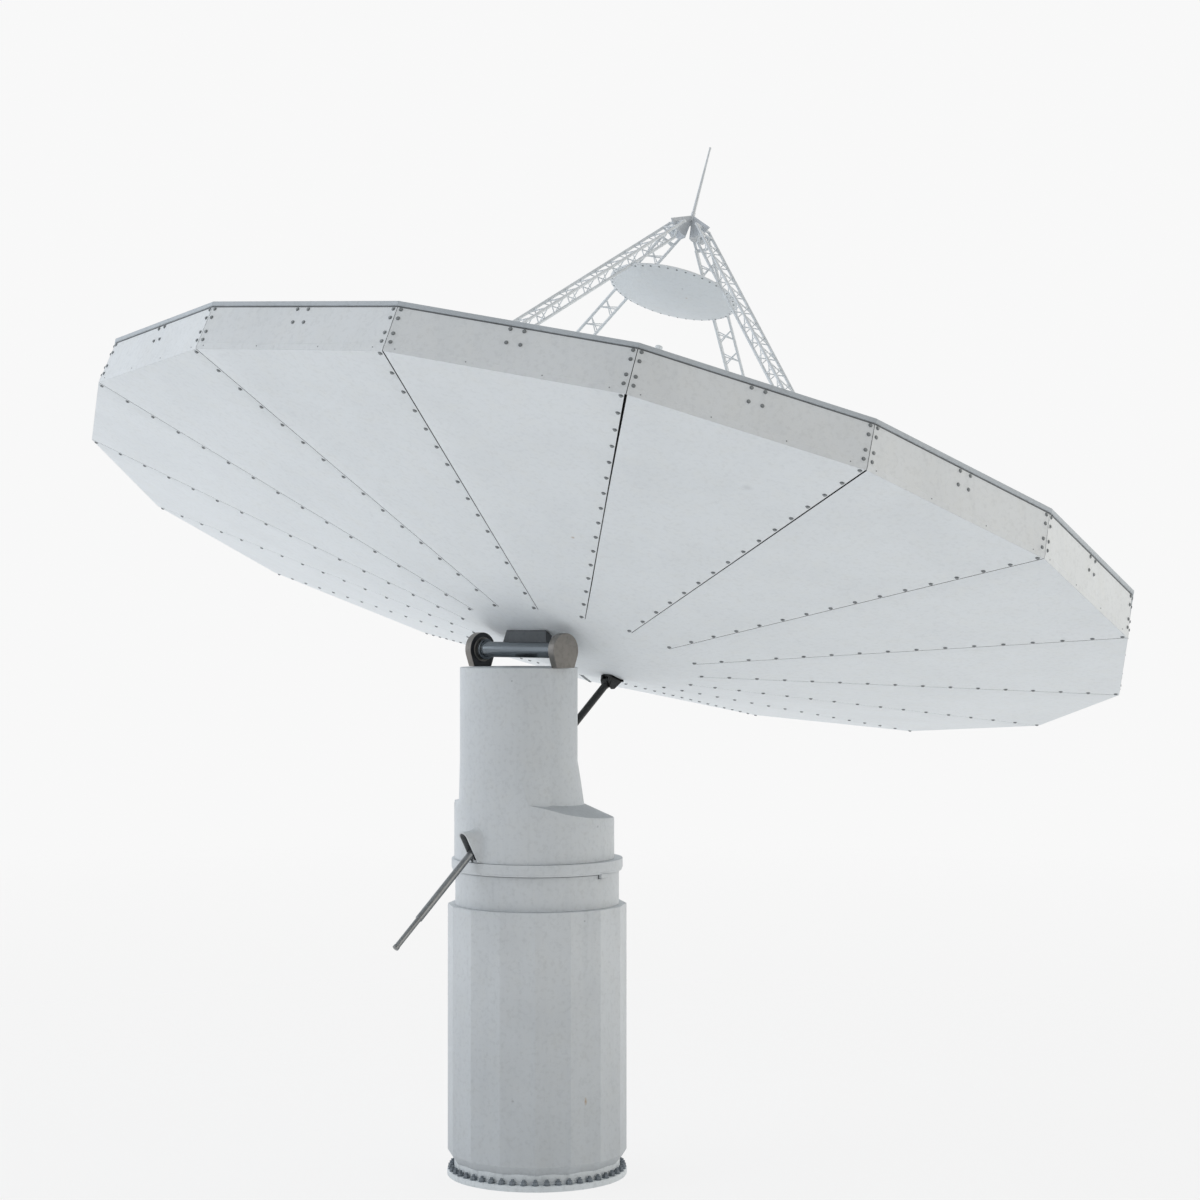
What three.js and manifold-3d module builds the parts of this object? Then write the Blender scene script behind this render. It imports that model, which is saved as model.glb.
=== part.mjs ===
// Steerable satellite earth-station antenna on a pedestal, in millimetres.
// Z is up, the azimuth axis is the Z axis, the underside of the base plate is z = 0.
// At rest the dish points towards +X, 70 degrees above the horizon.
import * as THREE from 'three';
import { mergeVertices } from 'three/addons/utils/BufferGeometryUtils.js';
import Module from 'manifold-3d';

const wasm = await Module();
wasm.setup();

// ---- dish, in its own frame: z along the dish axis from the lower rim plane ----
const SIDES = 16;
const SECTOR = (2 * Math.PI) / SIDES;
const REST_ELEVATION_DEG = 70;
const DISH_CENTRE_X = 624;
const DISH_CENTRE_Z = 4071;
const RIM_BOTTOM_R = 3650;
const RIM_TOP_R = 3620;
const RIM_HEIGHT = 319;
const RIM_SHEET = 9;
const LIP_HEIGHT = 31;
const LIP_OVERHANG = 10;
const HUB_R = 821;
const HUB_T = -595;
const HUB_FLAT_R = 400;
const BOWL_VERTEX_T = -511;
const BOWL_EDGE_R = 3594;
const BOWL_EDGE_T = 290;
const PETAL_INNER_R = 824;
const PETAL_OUTER_R = 3639;
const PETAL_TOP_R = 3608;
const PETAL_FRONT_STEPS = 5;
const PETAL_GAP = 5;
const BACK_SKIN = 10;
const FRONT_SKIN = 8;
const RIB_SHEET = 8;

// ---- feed, sub-reflector and its four lattice legs ----
const FEED_TIP_T = 1664;
const SUB_R = 459;
const SUB_T = 2077;
const SUB_BULGE = 62;
const LEG_COUNT = 4;
const LEG_FOOT_R = 2490;
const LEG_TOP_R = 102;
const LEG_TOP_T = 2560;
const LEG_HEAD = 24.4;
const HEAD_BAR = 22;
const CHORD_SPACING = 138;
const CHORD_OUT = 28;
const CHORD_IN = 55;
const CHORD = 22;
const BRACE = 10;
const LEG_BAYS = 10;
const FOOT_LIFT = 14;
const APEX_T = 2678;
const APEX_SHEET = 10;
const SPIKE_TIP_T = 3234;

// ---- elevation axis and jack, in the upright frame ----
const SHAFT_X = -150;
const SHAFT_Z = 3506;
const SHAFT_R = 52;
const JOURNAL_R = 42;
const JOURNAL_CLEARANCE = 0.5;
const EAR_INNER_Y = 374;
const EAR_OUTER_Y = 430;
const EAR_HEAD_R = 114;
const EAR_BASE_HALF = 76;
const PIN_X = 672;
const PIN_Z = 3271;
const PIN_R = 14;
const TRUNNION_X = -420;
const TRUNNION_Z = 2332;
const TRUNNION_R = 22;
const SCREW_LENGTH = 2538;
const SCREW_UPPER_R = 25;
const SCREW_LOWER_R = 24;
const SCREW_TAIL_R = 18.5;
const SCREW_BORE_R = 34;

// ---- pedestal and turret ----
const BASE_R = 602;
const BASE_THICK = 40;
const NUT_COUNT = 48;
const NUT_TOP = 77;
const TUBE_R = 600;
const TUBE_TOP = 1806;
const FOOT_R = 554;
const NECK_R = 549;
const NECK_TOP = 2030;
const COLLAR_R = 574;
const COLLAR_BOTTOM = 2032;
const DECK_TOP = 2112;
const SHELL_X = -25;
const SHELL_R = 535;
const SHELL_WALL = 16;
const COLUMN_X = -170;
const COLUMN_R = 392;
const COLUMN_WALL = 16;
const COLUMN_TOP = 3391;
const FLARE_TOP = 2768;
const FLARE_BOTTOM = 2501;
const FLARE_GROWTH = 25;
const SPIGOT_R = 360;
const RING_PITCH_R = 420;
const PINION_PITCH_R = 70;
const RING_TEETH = 48;
const PINION_TEETH = 8;

const group = new THREE.Group();
group.name = 'earth_station_antenna';

const FINISHES = {
  white_paint: { color: 0xcfd5d9, roughness: 0.55, metalness: 0.05 },
  grey_paint: { color: 0xb9c1c7, roughness: 0.55, metalness: 0.05 },
  dark_paint: { color: 0x43484c, roughness: 0.5, metalness: 0.2 },
  black_paint: { color: 0x26282a, roughness: 0.5, metalness: 0.2 },
  bare_steel: { color: 0x8a9296, roughness: 0.3, metalness: 0.9 },
  galvanised: { color: 0xa9b1b7, roughness: 0.45, metalness: 0.7 },
};

// ---------------------------------------------------------------- solids

/** A closed, welded, outward-facing solid made from a three.js geometry. */
function solid(geometry) {
  const bare = geometry.index ? geometry.toNonIndexed() : geometry.clone();
  bare.deleteAttribute('normal');
  bare.deleteAttribute('uv');
  const welded = mergeVertices(bare, 1e-4);
  const index = welded.index.array;
  const position = welded.attributes.position.array;
  const triangles = [];
  for (let i = 0; i < index.length; i += 3) {
    const [a, b, c] = [index[i], index[i + 1], index[i + 2]];
    if (a !== b && b !== c && c !== a) triangles.push(a, b, c);
  }
  if (signedVolume(position, triangles) < 0) triangles.reverse();
  return new wasm.Manifold(new wasm.Mesh({
    numProp: 3,
    vertProperties: Float32Array.from(position),
    triVerts: Uint32Array.from(triangles),
  }));
}

function signedVolume(position, triangles) {
  const a = new THREE.Vector3();
  const b = new THREE.Vector3();
  const c = new THREE.Vector3();
  let total = 0;
  for (let i = 0; i < triangles.length; i += 3) {
    a.fromArray(position, triangles[i] * 3);
    b.fromArray(position, triangles[i + 1] * 3);
    c.fromArray(position, triangles[i + 2] * 3);
    total += a.dot(b.cross(c));
  }
  return total;
}

function toGeometry(manifold) {
  const mesh = manifold.getMesh();
  const geometry = new THREE.BufferGeometry();
  const vertices = new Float32Array(mesh.numVert * 3);
  for (let i = 0; i < mesh.numVert; i += 1) {
    for (let k = 0; k < 3; k += 1) {
      vertices[i * 3 + k] = mesh.vertProperties[i * mesh.numProp + k];
    }
  }
  geometry.setAttribute('position', new THREE.BufferAttribute(vertices, 3));
  geometry.setIndex(new THREE.BufferAttribute(Uint32Array.from(mesh.triVerts), 1));
  geometry.computeVertexNormals();
  return geometry;
}

function union(...solids) {
  return solids.reduce((sum, next) => sum.add(next));
}

function addNode(name, manifold, finish) {
  const material = new THREE.MeshStandardMaterial(FINISHES[finish]);
  const mesh = new THREE.Mesh(toGeometry(manifold), material);
  mesh.name = name;
  group.add(mesh);
}

// ---------------------------------------------------------------- basic shapes

/** Prism of a polygon drawn in the XZ plane, running from y = from to y = to. */
function prismAlongY(points, from, to, holes = []) {
  const shape = new THREE.Shape(points.map(([x, z]) => new THREE.Vector2(x, z)));
  holes.forEach(([x, z, r]) => {
    const hole = new THREE.Path();
    hole.absarc(x, z, r, 0, 2 * Math.PI, true);
    shape.holes.push(hole);
  });
  const options = { depth: to - from, bevelEnabled: false, curveSegments: 16 };
  const geometry = new THREE.ExtrudeGeometry(shape, options);
  geometry.rotateX(Math.PI / 2);
  geometry.translate(0, to, 0);
  return solid(geometry);
}

/** Prism of a polygon drawn in the YZ plane, running from x = from to x = to. */
function prismAlongX(points, from, to) {
  const shape = new THREE.Shape(points.map(([y, z]) => new THREE.Vector2(y, z)));
  const geometry = new THREE.ExtrudeGeometry(shape, { depth: to - from, bevelEnabled: false });
  geometry.rotateX(Math.PI / 2);
  geometry.rotateZ(Math.PI / 2);
  geometry.translate(from, 0, 0);
  return solid(geometry);
}

/** Prism of a polygon drawn in the XY plane, running from z = from to z = to. */
function prismAlongZ(points, from, to) {
  const shape = new THREE.Shape(points.map(([x, y]) => new THREE.Vector2(x, y)));
  const geometry = new THREE.ExtrudeGeometry(shape, { depth: to - from, bevelEnabled: false });
  geometry.translate(0, 0, from);
  return solid(geometry);
}

/** Turned solid about the Z axis from a profile of [radius, z] points. */
function turned(points, segments = 32) {
  const profile = points.map(([r, z]) => new THREE.Vector2(r, z));
  const geometry = new THREE.LatheGeometry(profile, segments);
  geometry.rotateX(Math.PI / 2);
  return solid(geometry);
}

function turnedRing(points, segments = 32) {
  return turned([...points, points[0]], segments);
}

function box(x0, x1, y0, y1, z0, z1) {
  const geometry = new THREE.BoxGeometry(x1 - x0, y1 - y0, z1 - z0);
  geometry.translate((x0 + x1) / 2, (y0 + y1) / 2, (z0 + z1) / 2);
  return solid(geometry);
}

function cylinderZ(r, z0, z1, x = 0, y = 0, segments = 32) {
  const geometry = new THREE.CylinderGeometry(r, r, z1 - z0, segments);
  geometry.rotateX(Math.PI / 2);
  geometry.translate(x, y, (z0 + z1) / 2);
  return solid(geometry);
}

function cylinderY(r, y0, y1, x, z, segments = 32) {
  const geometry = new THREE.CylinderGeometry(r, r, y1 - y0, segments);
  geometry.translate(x, (y0 + y1) / 2, z);
  return solid(geometry);
}

/** Square bar between two points. */
function bar(from, to, size) {
  const start = new THREE.Vector3(...from);
  const end = new THREE.Vector3(...to);
  const geometry = new THREE.BoxGeometry(size, size, start.distanceTo(end));
  const along = end.clone().sub(start).normalize();
  const turn = new THREE.Quaternion().setFromUnitVectors(new THREE.Vector3(0, 0, 1), along);
  geometry.applyQuaternion(turn);
  geometry.translate(...start.add(end).multiplyScalar(0.5).toArray());
  return solid(geometry);
}

// ---------------------------------------------------------------- dish frame

function inDish(manifold) {
  const tilt = THREE.MathUtils.degToRad(90 - REST_ELEVATION_DEG);
  const matrix = new THREE.Matrix4().makeRotationY(tilt);
  matrix.setPosition(DISH_CENTRE_X, 0, DISH_CENTRE_Z);
  return manifold.transform(matrix.elements);
}

function backT(r) {
  return HUB_T * ((RIM_BOTTOM_R - r) / (RIM_BOTTOM_R - HUB_R));
}

function bowlT(r) {
  return BOWL_VERTEX_T + (BOWL_EDGE_T - BOWL_VERTEX_T) * (r / BOWL_EDGE_R) ** 2;
}

/** Corner radii become distances along the middle line of a flat sector. */
function flatten(points) {
  return points.map(([r, t]) => [r * Math.cos(SECTOR / 2), t]);
}

/** Wedge that holds one sector, its two sides set in by the given gap. */
function sectorWedge(gap) {
  const half = SECTOR / 2;
  const far = 4300;
  const side = far * Math.tan(half) - gap / Math.cos(half);
  return prismAlongZ([[gap / Math.sin(half), 0], [far, -side], [far, side]], -1000, 700);
}

function turnedToSector(manifold, index) {
  return manifold.rotate([0, 0, THREE.MathUtils.radToDeg(SECTOR * (index + 0.5))]);
}

/** One hollow petal: flat back skin, hollow-curved front skin and two side ribs. */
function petalSolid() {
  const front = [];
  for (let i = 0; i <= PETAL_FRONT_STEPS; i += 1) {
    const r = PETAL_TOP_R + ((PETAL_INNER_R - PETAL_TOP_R) * i) / PETAL_FRONT_STEPS;
    front.push([r, Math.min(bowlT(r), BOWL_EDGE_T)]);
  }
  const outline = [
    [PETAL_INNER_R, backT(PETAL_INNER_R)],
    [PETAL_OUTER_R, backT(PETAL_OUTER_R)],
    ...front,
  ];
  const cavity = [
    [PETAL_INNER_R - 60, backT(PETAL_INNER_R - 60) + BACK_SKIN],
    [PETAL_OUTER_R + 60, backT(PETAL_OUTER_R + 60) + BACK_SKIN],
    [PETAL_OUTER_R + 60, BOWL_EDGE_T - FRONT_SKIN],
    ...front.slice(0, -1).map(([r, t]) => [r, t - FRONT_SKIN]),
    [PETAL_INNER_R - 60, bowlT(PETAL_INNER_R) - FRONT_SKIN],
  ];
  const width = 900;
  const body = prismAlongY(flatten(outline), -width, width).intersect(sectorWedge(PETAL_GAP));
  const hollow = prismAlongY(flatten(cavity), -width, width);
  return body.subtract(hollow.intersect(sectorWedge(PETAL_GAP + RIB_SHEET)));
}

/** One rim panel: sloping skirt sheet with a thick rolled lip along its top. */
function rimPanelSolid() {
  const lipBottom = RIM_HEIGHT - LIP_HEIGHT;
  const outline = [
    [RIM_BOTTOM_R, 0],
    [RIM_TOP_R + 1, lipBottom],
    [RIM_TOP_R + LIP_OVERHANG - 3, lipBottom + 2],
    [RIM_TOP_R + LIP_OVERHANG, lipBottom + 10],
    [RIM_TOP_R + LIP_OVERHANG, RIM_HEIGHT - 9],
    [RIM_TOP_R + LIP_OVERHANG - 8, RIM_HEIGHT],
    [RIM_TOP_R - 14, RIM_HEIGHT],
    [RIM_TOP_R - 22, RIM_HEIGHT - 8],
    [RIM_TOP_R - 22, RIM_HEIGHT - 18],
    [RIM_TOP_R - RIM_SHEET, RIM_HEIGHT - 24],
    [RIM_BOTTOM_R - RIM_SHEET, 0],
  ];
  return prismAlongY(flatten(outline), -900, 900).intersect(sectorWedge(3));
}

function addPetalsAndRim() {
  const petal = petalSolid();
  const panel = rimPanelSolid();
  for (let i = 0; i < SIDES; i += 1) {
    const label = String(i + 1).padStart(2, '0');
    addNode(`petal_${label}`, inDish(turnedToSector(petal, i)), 'white_paint');
    addNode(`rim_panel_${label}`, inDish(turnedToSector(panel, i)), 'white_paint');
  }
}

/** Hub pan: the petals' back cone carried inwards to a flat bottom, open to the front. */
function addHub() {
  const wall = 12;
  const edge = HUB_R - 3;
  const top = bowlT(HUB_R) - 6;
  const pan = turned([
    [0, backT(HUB_FLAT_R)],
    [HUB_FLAT_R, backT(HUB_FLAT_R)],
    [edge, backT(edge)],
    [edge, top],
    [edge - wall, top],
    [edge - wall, backT(edge - wall) + wall],
    [HUB_FLAT_R, backT(HUB_FLAT_R) + wall],
    [0, backT(HUB_FLAT_R) + wall],
  ], SIDES);
  addNode('hub_pan', inDish(pan), 'white_paint');
}

/** Feed: centre disc of the bowl with the tapering horn housing standing on it. */
function addFeed() {
  const edge = bowlT(HUB_R) - 5;
  const disc = turned([[0, -512], [HUB_R - 1, edge], [HUB_R - 1, edge + 8], [0, -502]], SIDES);
  const housing = turned([
    [0, -508],
    [240, -508],
    [230, -470],
    [172, -420],
    [128, 1240],
    [112, 1275],
    [24, 1500],
    [22, 1640],
    [27, 1642],
    [27, FEED_TIP_T - 4],
    [22, FEED_TIP_T],
    [0, FEED_TIP_T],
  ], 20);
  addNode('feed_horn', inDish(union(disc, housing)), 'white_paint');
}

/** Sub-reflector: a disc bulging towards the bowl, with a notch in its rim for each leg. */
function addSubReflector() {
  const arc = [];
  const steps = 4;
  for (let i = 0; i <= steps; i += 1) {
    const r = (SUB_R * i) / steps;
    arc.push([r, SUB_T - SUB_BULGE * (1 - (r / SUB_R) ** 2)]);
  }
  const dish = turned([...arc, [SUB_R, SUB_T + 14], [SUB_R - 20, SUB_T + 14], [0, SUB_T + 30]], 32);
  const notches = [];
  for (let i = 0; i < LEG_COUNT; i += 1) {
    const notch = box(SUB_R - 36, SUB_R + 20, -13, 13, SUB_T - 30, SUB_T + 50);
    notches.push(notch.rotate([0, 0, 90 * i]));
  }
  addNode('sub_reflector', inDish(dish.subtract(union(...notches))), 'white_paint');
}

/** One lattice leg in the plane y = 0 of the dish frame, leaning in to the apex. */
function legSolid() {
  const footT = bowlT(LEG_FOOT_R);
  const along = new THREE.Vector3(LEG_TOP_R - LEG_FOOT_R, 0, LEG_TOP_T - footT);
  const length = along.length();
  along.normalize();
  const across = new THREE.Vector3(along.z, 0, -along.x);
  const point = (s, side, y) => [
    LEG_FOOT_R + along.x * s + across.x * side,
    y,
    footT + along.z * s + across.z * side,
  ];
  const corners = [[CHORD_OUT, -CHORD_SPACING / 2], [CHORD_OUT, CHORD_SPACING / 2], [-CHORD_IN, 0]];
  const ends = [length - LEG_HEAD, length - LEG_HEAD, length - 80];
  const members = corners.map(([a, b], k) => bar(point(-60, a, b), point(ends[k], a, b), CHORD));
  const bay = (length - 190) / LEG_BAYS;
  for (let i = 0; i < LEG_BAYS; i += 1) {
    for (let face = 0; face < 3; face += 1) {
      const low = corners[(face + (i % 2)) % 3];
      const high = corners[(face + ((i + 1) % 2)) % 3];
      const start = 80 + bay * i;
      members.push(bar(point(start, ...low), point(start + bay, ...high), BRACE));
    }
  }
  const top = corners.map((from, k) => {
    const to = corners[(k + 1) % 3];
    return bar(point(length - 95, ...from), point(length - 95, ...to), CHORD);
  });
  const slope = (2 * (BOWL_EDGE_T - BOWL_VERTEX_T) * LEG_FOOT_R) / BOWL_EDGE_R ** 2;
  const onSlope = (manifold) => manifold
    .rotate([0, -THREE.MathUtils.radToDeg(Math.atan(slope)), 0])
    .translate([LEG_FOOT_R - 25, 0, footT - 25 * slope]);
  const plate = onSlope(box(-110, 110, -88, 88, FOOT_LIFT, FOOT_LIFT + 14));
  const below = onSlope(box(-400, 400, -400, 400, -400, FOOT_LIFT));
  return union(...members, ...top, plate).subtract(below);
}

function addLegs() {
  const leg = legSolid();
  for (let i = 0; i < LEG_COUNT; i += 1) {
    addNode(`lattice_leg_${i + 1}`, inDish(leg.rotate([0, 0, 90 * i])), 'galvanised');
  }
}

/** Apex: two crossed gusset plates, a head bar for each leg's outer chords, and the spike. */
function addApex() {
  const half = APEX_SHEET / 2;
  const wing = [[0, APEX_T], [20, APEX_T - 2], [198, 2571], [165, 2535], [60, 2508], [26, 2515], [10, 2606], [0, 2606]];
  const footT = bowlT(LEG_FOOT_R);
  const along = new THREE.Vector3(LEG_TOP_R - LEG_FOOT_R, 0, LEG_TOP_T - footT).normalize();
  const back = HEAD_BAR / 2 + 2;
  const headX = LEG_TOP_R - along.x * back + along.z * CHORD_OUT;
  const headT = LEG_TOP_T - along.z * back - along.x * CHORD_OUT;
  const reach = (CHORD_SPACING + CHORD) / 2;
  const parts = [];
  for (let i = 0; i < LEG_COUNT; i += 1) {
    const plate = prismAlongY(wing, -half, half);
    const head = box(-HEAD_BAR / 2, HEAD_BAR / 2, -reach, reach, -HEAD_BAR / 2, HEAD_BAR / 2)
      .rotate([0, THREE.MathUtils.radToDeg(Math.atan2(along.x, along.z)), 0])
      .translate([headX, 0, headT]);
    parts.push(union(plate, head).rotate([0, 0, 90 * i]));
  }
  parts.push(turned([
    [0, APEX_T - 4],
    [22, APEX_T - 4],
    [22, APEX_T + 56],
    [11, APEX_T + 56],
    [7, SPIKE_TIP_T - 14],
    [9, SPIKE_TIP_T - 10],
    [9, SPIKE_TIP_T - 3],
    [0, SPIKE_TIP_T],
  ], 16));
  addNode('apex_cap', inDish(union(...parts)), 'galvanised');
}

/** Height of the hub's underside above the pedestal foot, on the plane y = 0. */
function hubUndersideZ(x) {
  const tilt = THREE.MathUtils.degToRad(90 - REST_ELEVATION_DEG);
  const place = (u, t) => [
    DISH_CENTRE_X + u * Math.cos(tilt) + t * Math.sin(tilt),
    DISH_CENTRE_Z - u * Math.sin(tilt) + t * Math.cos(tilt),
  ];
  const flat = backT(HUB_FLAT_R);
  const line = [
    place(-HUB_R, HUB_T),
    place(-HUB_FLAT_R, flat),
    place(HUB_FLAT_R, flat),
    place(HUB_R, HUB_T),
  ];
  for (let i = 0; i < line.length - 1; i += 1) {
    const [x0, z0] = line[i];
    const [x1, z1] = line[i + 1];
    if (x >= x0 && x <= x1) return z0 + ((z1 - z0) * (x - x0)) / (x1 - x0);
  }
  return SHAFT_Z;
}

// ---------------------------------------------------------------- elevation drive

/** Block that joins the elevation shaft to the underside of the hub. */
function addDishBracket() {
  const rear = SHAFT_X + 46;
  const front = SHAFT_X + 105;
  const block = prismAlongY([
    [SHAFT_X + 32, SHAFT_Z + 10],
    [SHAFT_X + 58, SHAFT_Z],
    [front, hubUndersideZ(front) - 2],
    [rear, hubUndersideZ(rear) - 2],
  ], -213, 213);
  const seat = cylinderY(SHAFT_R + 0.5, -300, 300, SHAFT_X, SHAFT_Z);
  addNode('dish_bracket', block.subtract(seat), 'dark_paint');
}

/** Elevation shaft with shouldered ends and a journal running in each ear. */
function addElevationShaft() {
  const shoulder = EAR_INNER_Y - 4;
  const journalEnd = EAR_OUTER_Y - 20;
  const half = [
    [SHAFT_R, shoulder - 34],
    [70, shoulder - 34],
    [70, shoulder - 14],
    [60, shoulder - 14],
    [60, shoulder],
    [JOURNAL_R, shoulder],
    [JOURNAL_R, journalEnd],
    [0, journalEnd],
  ];
  const mirrored = half.map(([r, z]) => [r, -z]).reverse();
  const body = turned([...mirrored, ...half], 24);
  const along = body.rotate([90, 0, 0]).translate([SHAFT_X, 0, SHAFT_Z]);
  addNode('elevation_shaft', along, 'bare_steel');
}

/** Ear plate with a round head, tapering to a narrower foot, and a blind bearing bore. */
function earSolid() {
  const outline = [[SHAFT_X - EAR_BASE_HALF, COLUMN_TOP + 0.4]];
  const steps = 18;
  const drop = 0.34;
  for (let i = 0; i <= steps; i += 1) {
    const angle = Math.PI + drop - ((Math.PI + 2 * drop) * i) / steps;
    const x = SHAFT_X + EAR_HEAD_R * Math.cos(angle);
    outline.push([x, SHAFT_Z + EAR_HEAD_R * Math.sin(angle)]);
  }
  outline.push([SHAFT_X + EAR_BASE_HALF, COLUMN_TOP + 0.4]);
  const plate = prismAlongY(outline, EAR_INNER_Y, EAR_OUTER_Y);
  const boreR = JOURNAL_R + JOURNAL_CLEARANCE;
  const boreEnd = EAR_OUTER_Y - 18;
  return plate.subtract(cylinderY(boreR, EAR_INNER_Y - 5, boreEnd, SHAFT_X, SHAFT_Z));
}

function addEars() {
  const ear = earSolid();
  addNode('ear_left', ear, 'dark_paint');
  addNode('ear_right', ear.mirror([0, 1, 0]), 'dark_paint');
}

/** Clevis under the hub with its pin, which carries the upper end of the jack screw. */
function addClevis() {
  const rear = PIN_X - 28;
  const front = PIN_X + 118;
  const under = (x, drop) => [x, hubUndersideZ(x) - drop];
  const corner = DISH_CENTRE_X + 142;
  const cheek = [
    [rear, PIN_Z + 14],
    [PIN_X - 17, PIN_Z - 20],
    [PIN_X + 4, PIN_Z - 45],
    [PIN_X + 28, PIN_Z - 45],
    under(front, 2),
    under(corner, 2),
    under(PIN_X - 6, 2),
    [rear + 8, PIN_Z + 54],
  ];
  const roof = [under(PIN_X - 14, 18), under(corner, 18), under(front, 14), under(front, 2), under(corner, 2),
    under(PIN_X - 6, 2)];
  const parts = [
    prismAlongY(cheek, 26, 42),
    prismAlongY(cheek, -42, -26),
    prismAlongY(roof, -42, 42),
    cylinderY(PIN_R, -46, 46, PIN_X, PIN_Z, 24),
  ];
  addNode('jack_clevis', union(...parts), 'black_paint');
}

const JACK_DROP = new THREE.Vector2(TRUNNION_X - PIN_X, TRUNNION_Z - PIN_Z).normalize();

/** Point on the jack's line at distance s below the clevis pin, shifted square to it. */
function onJack(s, shift = 0) {
  return [
    PIN_X + JACK_DROP.x * s - JACK_DROP.y * shift,
    0,
    PIN_Z + JACK_DROP.y * s + JACK_DROP.x * shift,
  ];
}

/** Turned solid about the jack's line; the profile is [radius, distance from the pin]. */
function alongJack(points, segments) {
  const angle = THREE.MathUtils.radToDeg(Math.atan2(JACK_DROP.x, JACK_DROP.y));
  return turned(points, segments).rotate([0, angle, 0]).translate([PIN_X, 0, PIN_Z]);
}

/** Jack screw: eye on the clevis pin, dark upper rod, bright lower rod and a thin tail. */
function addJackScrew() {
  const switchover = 1120;
  const tail = 2280;
  const upper = alongJack([[0, 20], [SCREW_UPPER_R, 20], [SCREW_UPPER_R, switchover], [0, switchover]], 20);
  const eye = cylinderY(34, -22, 22, PIN_X, PIN_Z, 24);
  const bore = cylinderY(PIN_R + 1, -60, 60, PIN_X, PIN_Z, 24);
  addNode('jack_rod_upper', union(upper, eye).subtract(bore), 'black_paint');
  const lower = alongJack([
    [0, switchover + 0.5],
    [SCREW_LOWER_R, switchover + 0.5],
    [SCREW_LOWER_R, tail - 4],
    [SCREW_TAIL_R, tail],
    [SCREW_TAIL_R, SCREW_LENGTH - 24],
    [SCREW_TAIL_R + 3, SCREW_LENGTH - 22],
    [SCREW_TAIL_R + 3, SCREW_LENGTH - 2],
    [0, SCREW_LENGTH],
  ], 20);
  addNode('jack_rod_lower', lower, 'bare_steel');
}

/** Nut housing that swings on two stub trunnions and lets the screw through its bore. */
function addJackGearbox() {
  const toPin = Math.hypot(PIN_X - TRUNNION_X, PIN_Z - TRUNNION_Z);
  const angle = THREE.MathUtils.radToDeg(Math.atan2(JACK_DROP.x, JACK_DROP.y));
  const block = box(-75, 75, -85, 85, -65, 65)
    .rotate([0, angle, 0])
    .translate([TRUNNION_X, 0, TRUNNION_Z]);
  const stubs = cylinderY(TRUNNION_R, -120, 120, TRUNNION_X, TRUNNION_Z, 24);
  const bore = alongJack([
    [0, toPin - 200],
    [SCREW_BORE_R, toPin - 200],
    [SCREW_BORE_R, toPin + 200],
    [0, toPin + 200],
  ], 24);
  addNode('jack_nut_housing', union(block, stubs).subtract(bore), 'grey_paint');
  const [x, , z] = onJack(toPin, 124.5);
  const motor = union(cylinderY(48, -80, 84, x, z, 24), cylinderY(30, -84, -70, x, z, 16));
  addNode('jack_motor', motor, 'grey_paint');
}

// ---------------------------------------------------------------- turret

/** Turntable: rim collar, deck plate and the two lugs that carry the jack's trunnions. */
function addTurntable() {
  const skirt = COLLAR_R - 20;
  const deckLow = DECK_TOP - 20;
  const plate = turnedRing([
    [90, deckLow],
    [skirt, deckLow],
    [skirt, COLLAR_BOTTOM],
    [COLLAR_R, COLLAR_BOTTOM],
    [COLLAR_R, DECK_TOP],
    [90, DECK_TOP],
  ]);
  const outline = [
    [TRUNNION_X - 58, DECK_TOP - 6],
    [TRUNNION_X + 78, DECK_TOP - 6],
    [TRUNNION_X + 42, TRUNNION_Z + 16],
    [TRUNNION_X + 20, TRUNNION_Z + 42],
    [TRUNNION_X - 20, TRUNNION_Z + 42],
    [TRUNNION_X - 42, TRUNNION_Z + 16],
  ];
  const bore = [[TRUNNION_X, TRUNNION_Z, TRUNNION_R + 0.6]];
  const lugs = [prismAlongY(outline, 102, 118, bore), prismAlongY(outline, -118, -102, bore)];
  const driveHole = cylinderZ(34, deckLow - 10, DECK_TOP + 10, RING_PITCH_R - PINION_PITCH_R, 0);
  addNode('turntable', union(plate, ...lugs).subtract(driveHole), 'white_paint');
}

/** Lower turret shell: a drum whose top slopes up to the column standing on it. */
function addTurretShell() {
  const drum = cylinderZ(SHELL_R, DECK_TOP + 1, 2600, SHELL_X, 0, 40);
  const slope = turned([
    [0, 2000],
    [900, 2000],
    [900, 2370],
    [650, 2380],
    [542, 2408],
    [500, 2434],
    [459, 2483],
    [432, FLARE_BOTTOM - 1],
    [0, FLARE_BOTTOM - 1],
  ], 40).translate([COLUMN_X, 0, 0]);
  const inside = cylinderZ(SHELL_R - SHELL_WALL, 2000, 2360, SHELL_X, 0, 40);
  const spigotBore = cylinderZ(SPIGOT_R + 1, 2300, 2700, COLUMN_X - 2, 0, 32);
  const screwSlot = box(-640, -500, -40, 40, 2000, 2300);
  const shell = drum.intersect(slope).subtract(inside).subtract(spigotBore).subtract(screwSlot);
  addNode('turret_shell', shell, 'white_paint');
}

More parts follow.
